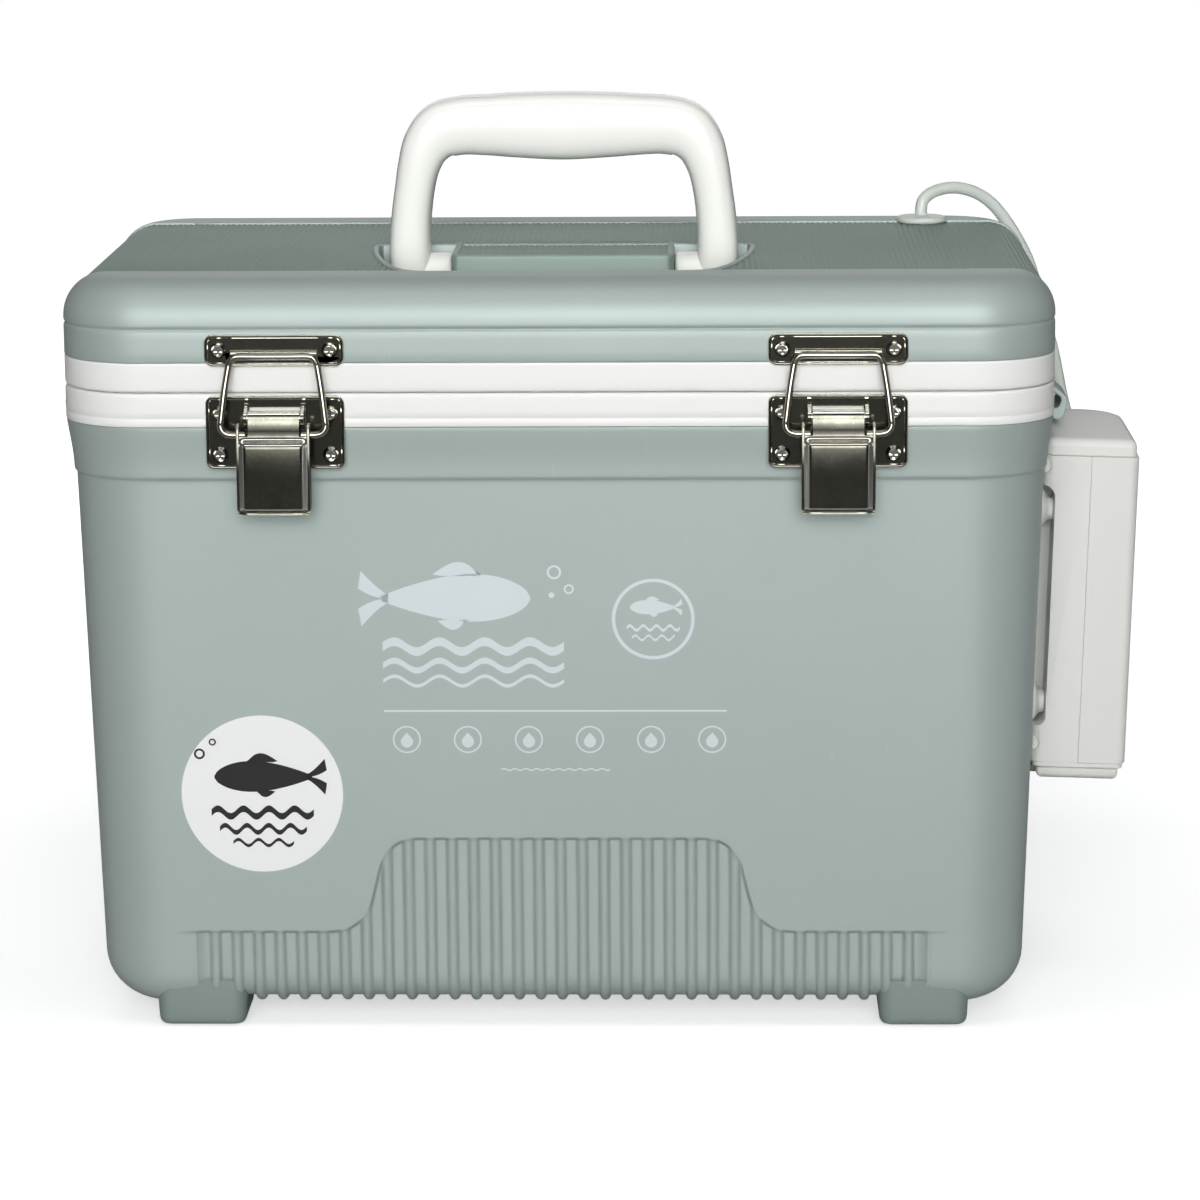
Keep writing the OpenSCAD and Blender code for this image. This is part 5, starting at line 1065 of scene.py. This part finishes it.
grommet_top, panel_flat = 290.2, 287.3
grommet_profile = [(1.4, 237.2), (6.0, 237.2), (6.5, 237.7), (6.5, 239.4), (6.0, 240.0), (4.45, 240.0),
                   (4.45, 287.2), (9.6, panel_flat - 0.1), (10.05, panel_flat + 0.25),
                   (10.2, panel_flat + 0.8), (10.15, panel_flat + 1.5), (9.8, panel_flat + 2.05),
                   (9.1, panel_flat + 2.4), (7.6, panel_flat + 2.6), (5.2, panel_flat + 2.75),
                   (4.1, grommet_top - 0.08), (3.3, grommet_top), (1.4, grommet_top)]
grommet_place = np.array([143.5, 82.0, 0.0])
gp, gq = lathe(grommet_profile, 64)
grommet = mesh_piece("grommet", gp + grommet_place, gq, sharp=50)
grommet_finish = moulded("soft grommet rubber", linear(208, 213, 206), linear(186, 193, 184), 0.3, 700.0,
                         0.40, 0.08, 0.05, 0.05, coat=0.1, coat_rough=0.3)
fitted(grommet, grommet_finish, "hose_grommet", "lid")

stone_finish = moulded("bonded grit", linear(140, 153, 166), linear(96, 108, 122), 0.9, 1300.0, 0.9, 0.08,
                       0.0, 0.9, depth=0.0007, specular=0.2)
dressed("air_stone", "bucket", stone_finish, 0.6)

# ---- Air hoses -----------------------------------------------------------------------
# Two lengths of clear silicone aquarium hose, 5 mm outside. The outer one loops from the
# grommet in the lid over to the pump's outlet; the inner one runs down to the air stone.
hose_d = 5.0
pump_lean, pump_low, pump_gap, pump_y = draft_angle, 83.0, 3.0, -4.0
pump_x0 = half_w - (flange_in + (flange_low - pump_low) * draft) + pump_gap / math.cos(pump_lean)


def on_pump(p):
    """Points in the pump's own frame (x away from the wall, y to the back, z up, mm) put in their
    place on the leaning wall."""
    p = np.asarray(p, float)
    c, s = math.cos(pump_lean), math.sin(pump_lean)
    return np.stack([pump_x0 + p[..., 0] * c + p[..., 2] * s, p[..., 1] + pump_y,
                     pump_low + p[..., 2] * c - p[..., 0] * s], -1)


outlet = on_pump([22.0, 42.5, 114.0])
rear_corner = np.array([half_w, half_d, 288.0])
grommet_low = grommet_place + [0, 0, 237.2]
stone_place = np.array([52.0, 0.0, 41.5])
hose_out = np.concatenate([
    grommet_place + [[0, 0, 290.2], [0, 0, 292.6]],
    rear_corner + [[-41.7, -30.4, 7.9], [-38.5, -27.9, 10.6], [-33.2, -24.3, 12.1], [-27.4, -21, 12.1],
                   [-21.4, -18, 10.5], [-16, -15.7, 7.6], [-11.2, -13.9, 3.4], [-6.6, -12.5, -2.4],
                   [-2, -11.5, -9.6], [2.3, -10.8, -17.8], [5.4, -10.3, -26.4], [8, -10.6, -36],
                   [10.6, -12.6, -46], [13.4, -17.4, -56.6]],
    outlet + [[-5.1, 41.6, 19.2], [-3.1, 33.1, 10.7], [-1.1, 22.6, 4.2], [-0.1, 13.1, 0.9], [0, 6, 0],
              [0, 0, 0]]])
hose_in = np.concatenate([
    grommet_low + [[0, 0, 0], [0, 0, -5.2], [-0.1, -1, -15.2], [-1, -4, -29.2], [-3, -9, -45.2],
                   [-6, -16, -63.2], [-10, -24, -81.2], [-15, -33, -99.2]],
    stone_place + [[71, 39.5, 78.5], [65, 30, 60.5], [58.5, 21, 43.5], [51, 13, 29], [42, 6.5, 16.5],
                   [32, 2.5, 7], [21, 0.5, 1.5], [10, 0, 0], [0, 0, 0]]])

hose_finish = moulded("clear silicone hose", linear(214, 219, 213), linear(188, 196, 188), 0.25, 500.0, 0.28,
                      0.08, 0.04, 0.04, coat=0.35, coat_rough=0.12)
shader = hose_finish.node_tree.nodes["Principled BSDF"]
shader.inputs["Subsurface Weight"].default_value = 0.25
shader.inputs["Subsurface Radius"].default_value = (0.002, 0.002, 0.002)

out_path = smooth_path(hose_out, 5)
air_hose_outer = mesh_piece("outer_hose", *swept(out_path, hose_d / 2, 20, [1, -0.6, 0]), sharp=50)
air_hose_outer.data.materials.append(hose_finish)
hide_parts("air_hose_outer")
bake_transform(air_hose_outer)

in_path = smooth_path(hose_in, 5)
air_hose_inner = mesh_piece("inner_hose", *swept(in_path, hose_d / 2, 20, [0.6, -1, 0]), sharp=50)
air_hose_inner.data.materials.append(hose_finish)
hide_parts("air_hose_inner")
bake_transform(air_hose_inner)

# ---- Air pump ------------------------------------------------------------------------
# A white battery pump hung on the right wall: two clam halves with a seam up the middle,
# a cap at each end, a recess on the wall side and two round standoffs.
pump_finish = moulded("white pump case", linear(222, 222, 218), linear(208, 209, 204), 0.3, 1100.0, 0.42,
                      0.08, 0.10, 0.06, specular=0.45)
bracket_finish = moulded("olive bracket paint", linear(176, 172, 148), linear(150, 145, 122), 0.4, 800.0,
                         0.5, 0.1, 0.2, 0.06)
grey_finish = moulded("grey button plastic", linear(198, 202, 200), linear(182, 187, 184), 0.3, 900.0, 0.45,
                      0.08, 0.08, 0.05)
dressed("pump_wall_shell", "bucket", pump_finish, 0.4)
dressed("pump_outer_shell", "bucket", pump_finish, 0.4)
dressed("pump_top_cap", "bucket", pump_finish, 0.9, 4)
dressed("pump_bottom_cap", "bucket", pump_finish, 0.7, 4)
dressed("pump_standoffs", "bucket", pump_finish, 0.8, 4)
dressed("pump_bracket", "bucket", bracket_finish, 0.5)
dressed("pump_button", "button", grey_finish, 0.35)
dressed("pump_port_cover", "port_cover", grey_finish, 0.35)
dressed("pump_outlet_barb", "bucket", grey_finish, 0.25)
dressed("pump_mount_screws", "bucket", steel_finish, 0.2)

# ---- Print and sticker on the front --------------------------------------------------
# A thin pad print in pale silver and a round white vinyl label: a minnow over waves, with
# bubbles, a row of drops and rings.


def on_front(xz, lift):
    """Points (x, z) of the front wall's leaning face, lift mm in front of it."""
    xz = np.asarray(xz, float)
    inset = flange_in + (flange_low - xz[..., 1]) * draft
    return np.stack([xz[..., 0], -(half_d - inset) - lift, xz[..., 1]], -1)


def between(lower, upper, rows=3):
    """A patch between two lines of (x, z) with as many points, the lower one first: points and
    quads facing the front."""
    lower, upper = np.asarray(lower, float), np.asarray(upper, float)
    t = np.linspace(0, 1, rows)[:, None, None]
    grid = lower[None] * (1 - t) + upper[None] * t
    return grid.reshape(-1, 2), grid_quads(rows, len(lower))


def annulus(cx0, cz0, r0, r1, steps=56):
    """A flat ring, or a disc where r0 is 0."""
    b = np.linspace(0, 2 * math.pi, steps + 1)
    circle = np.stack([np.cos(b), np.sin(b)], -1)
    return between(circle * r1 + [cx0, cz0], circle * max(r0, 0.01) + [cx0, cz0], 3)


def minnow(cx0, cz0, length, sign=1):
    """A side view of a small fish: a body that tapers to both ends, a forked tail, a fin above and
    one below."""
    t = np.linspace(0, 1, 40)
    x = (t - 0.42) * length
    half = 0.155 * length * np.sin(math.pi * t ** 0.72) ** 0.85 + 0.012 * length
    body = between(np.stack([x, -half * 0.95], -1), np.stack([x, half], -1))
    t = np.linspace(0, 1, 12)
    x = (0.53 + 0.20 * t) * length
    tail_up = between(np.stack([x, length * 0.07 * t ** 2], -1),
                      np.stack([x - 0.02 * length * t, length * (0.03 + 0.16 * t ** 1.3)], -1))
    tail_down = between(np.stack([x - 0.02 * length * t, -length * (0.03 + 0.16 * t ** 1.3)], -1),
                        np.stack([x, -length * 0.07 * t ** 2], -1))
    x = (-0.12 + 0.30 * t) * length
    fin = between(np.stack([x, np.full(12, 0.155 * length)], -1),
                  np.stack([x + 0.05 * length, length * (0.165 + 0.085 * np.sin(math.pi * t ** 0.8))], -1))
    x = (-0.02 + 0.18 * t) * length
    belly = between(np.stack([x + 0.04 * length, -length * (0.155 + 0.06 * np.sin(math.pi * t ** 0.8))], -1),
                    np.stack([x, np.full(12, -0.145 * length)], -1))
    out = []
    for p, q in (body, tail_up, tail_down, fin, belly):
        out.append((p * [sign, 1] + [cx0, cz0], q if sign > 0 else q[:, ::-1]))
    return out


def wave(x0, x1, z, height, pitch, width):
    """A band of even thickness that rises and falls."""
    x = np.linspace(x0, x1, 90)
    mid = z + height * np.sin(2 * math.pi * (x - x0) / pitch)
    return between(np.stack([x, mid - width / 2], -1), np.stack([x, mid + width / 2], -1), 2)


def drop(cx0, cz0, r):
    """A drop of water, pointed at the top."""
    t = np.linspace(0, 1, 24)
    z = cz0 - r + 2.6 * r * t
    half = r * np.where(t < 0.4, np.sin(math.pi / 2 * np.clip(t / 0.4, 0, 1) ** 0.62),
                        np.cos(math.pi / 2 * np.clip((t - 0.4) / 0.6, 0, 1)) ** 1.25)
    return between(np.stack([cx0 + half, z], -1), np.stack([cx0 - half, z], -1), 3)


def printed(name, parts, lift, finish):
    """A print of several flat patches on the front wall, as one piece."""
    piece = mesh_piece(name, *joined(*[(on_front(p, lift), q) for p, q in parts]))
    piece.data.materials.append(finish)
    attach(piece, "bucket")


silver_ink = moulded("pale silver ink", linear(216, 226, 228), linear(196, 208, 210), 0.5, 1500.0, 0.42, 0.1,
                     0.0, 0.08, metallic=0.15)
motif = minnow(-34, 168, 56, -1) + [annulus(-1.5, 178, 1.9, 2.7, 32), annulus(4.0, 171.5, 1.2, 1.9, 28),
                                    annulus(-2.5, 169.2, 0.0, 1.1, 24)]
motif += [wave(-66, 2, 149.5, 1.9, 17.0, 3.4), wave(-66, 2, 142.2, 1.9, 17.0, 2.4),
          wave(-66, 2, 136.2, 1.9, 17.0, 1.4)]
motif += [wave(-66, 63, 124.6, 0.0, 20.0, 0.7)]
motif += [annulus(35.5, 160, 14.2, 15.5, 72)] + minnow(34, 164.5, 17, 1)
motif += [wave(25.5, 45.5, 156.6, 0.9, 5.0, 1.2), wave(27.5, 43.5, 152.8, 0.9, 5.0, 0.9)]
for k in range(6):
    motif += [annulus(-57.5 + 23.0 * k, 113.5, 4.7, 5.3, 36), drop(-57.5 + 23.0 * k, 112.6, 2.3)]
motif += [wave(-22, 19, 101.8, 0.35, 4.1, 0.55)]
printed("front_print", motif, 0.10, silver_ink)

label_finish = moulded("white vinyl label", linear(243, 243, 243), linear(234, 235, 236), 0.3, 1200.0, 0.30,
                       0.06, 0.0, 0.03, coat=0.2, coat_rough=0.2)
label_ink = moulded("black label ink", linear(22, 22, 24), linear(34, 34, 36), 0.4, 1200.0, 0.38, 0.1, 0.0,
                    0.03)
label_place, label_r, label_lift = (-112.6, 92.3), 30.6, 0.18
printed("front_label", [annulus(*label_place, 0.0, label_r, 96)], label_lift, label_finish)
label_ring = spun(np.linspace(0, 2 * math.pi, 96, endpoint=False), label_r, label_place)
edge_band = np.stack([on_front(label_ring, lift) for lift in (-0.05, label_lift)])
label_edge = mesh_piece("front_label_edge", edge_band, grid_quads(2, 96, closed_columns=True))
label_edge.data.materials.append(label_finish)
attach(label_edge, "bucket")
label_motif = minnow(-115, 99.0, 37, 1) + [annulus(-136.0, 108.0, 1.3, 2.1, 28),
                                           annulus(-131.0, 112.6, 0.8, 1.4, 24)]
label_motif += [wave(-132, -93.2, 85.0, 1.5, 9.7, 2.6), wave(-129, -96, 78.6, 1.4, 8.25, 1.9),
                wave(-124, -101, 73.2, 1.2, 7.66, 1.3)]
printed("front_label_print", label_motif, 0.23, label_ink)

# ---- Inner pieces --------------------------------------------------------------------
# What is seen only in a cutaway keeps the solids' own shape, with plain finishes.
foam_finish = moulded("insulating foam", linear(231, 220, 174), linear(214, 200, 150), 0.5, 500.0, 0.85,
                      0.06, 0.0, 0.5, specular=0.2)
inner = {
    "body_insulation": foam_finish,
    "lid_insulation": foam_finish,
    "pump_motor": plated("motor can", linear(170, 176, 182), linear(138, 145, 150), 0.3),
    "pump_eccentric": moulded("cam plastic", linear(217, 201, 160), linear(198, 182, 142), 0.3),
    "pump_diaphragm": moulded("diaphragm rubber", linear(48, 52, 58), linear(34, 37, 42), 0.4,
                              roughness=0.6),
    "pump_head": moulded("head plastic", linear(214, 215, 211), linear(198, 199, 195), 0.3),
    "pump_battery": moulded("cell sleeves", linear(92, 127, 168), linear(74, 106, 148), 0.3,
                            roughness=0.3),
    "pump_board": moulded("circuit board", linear(47, 107, 69), linear(34, 84, 53), 0.5,
                          roughness=0.45),
    "pump_switch": moulded("switch body", linear(58, 61, 64), linear(44, 46, 49), 0.3),
    "pump_charge_port": plated("charge socket", linear(150, 154, 160), linear(120, 124, 130), 0.28),
    "pump_lens": moulded("green lens", linear(128, 208, 138), linear(96, 178, 108), 0.2,
                         roughness=0.12, coat=0.3),
    "pump_screws": steel_finish,
}
for node, finish in inner.items():
    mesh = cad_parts[node].data
    mesh.materials.clear()
    mesh.materials.append(finish)
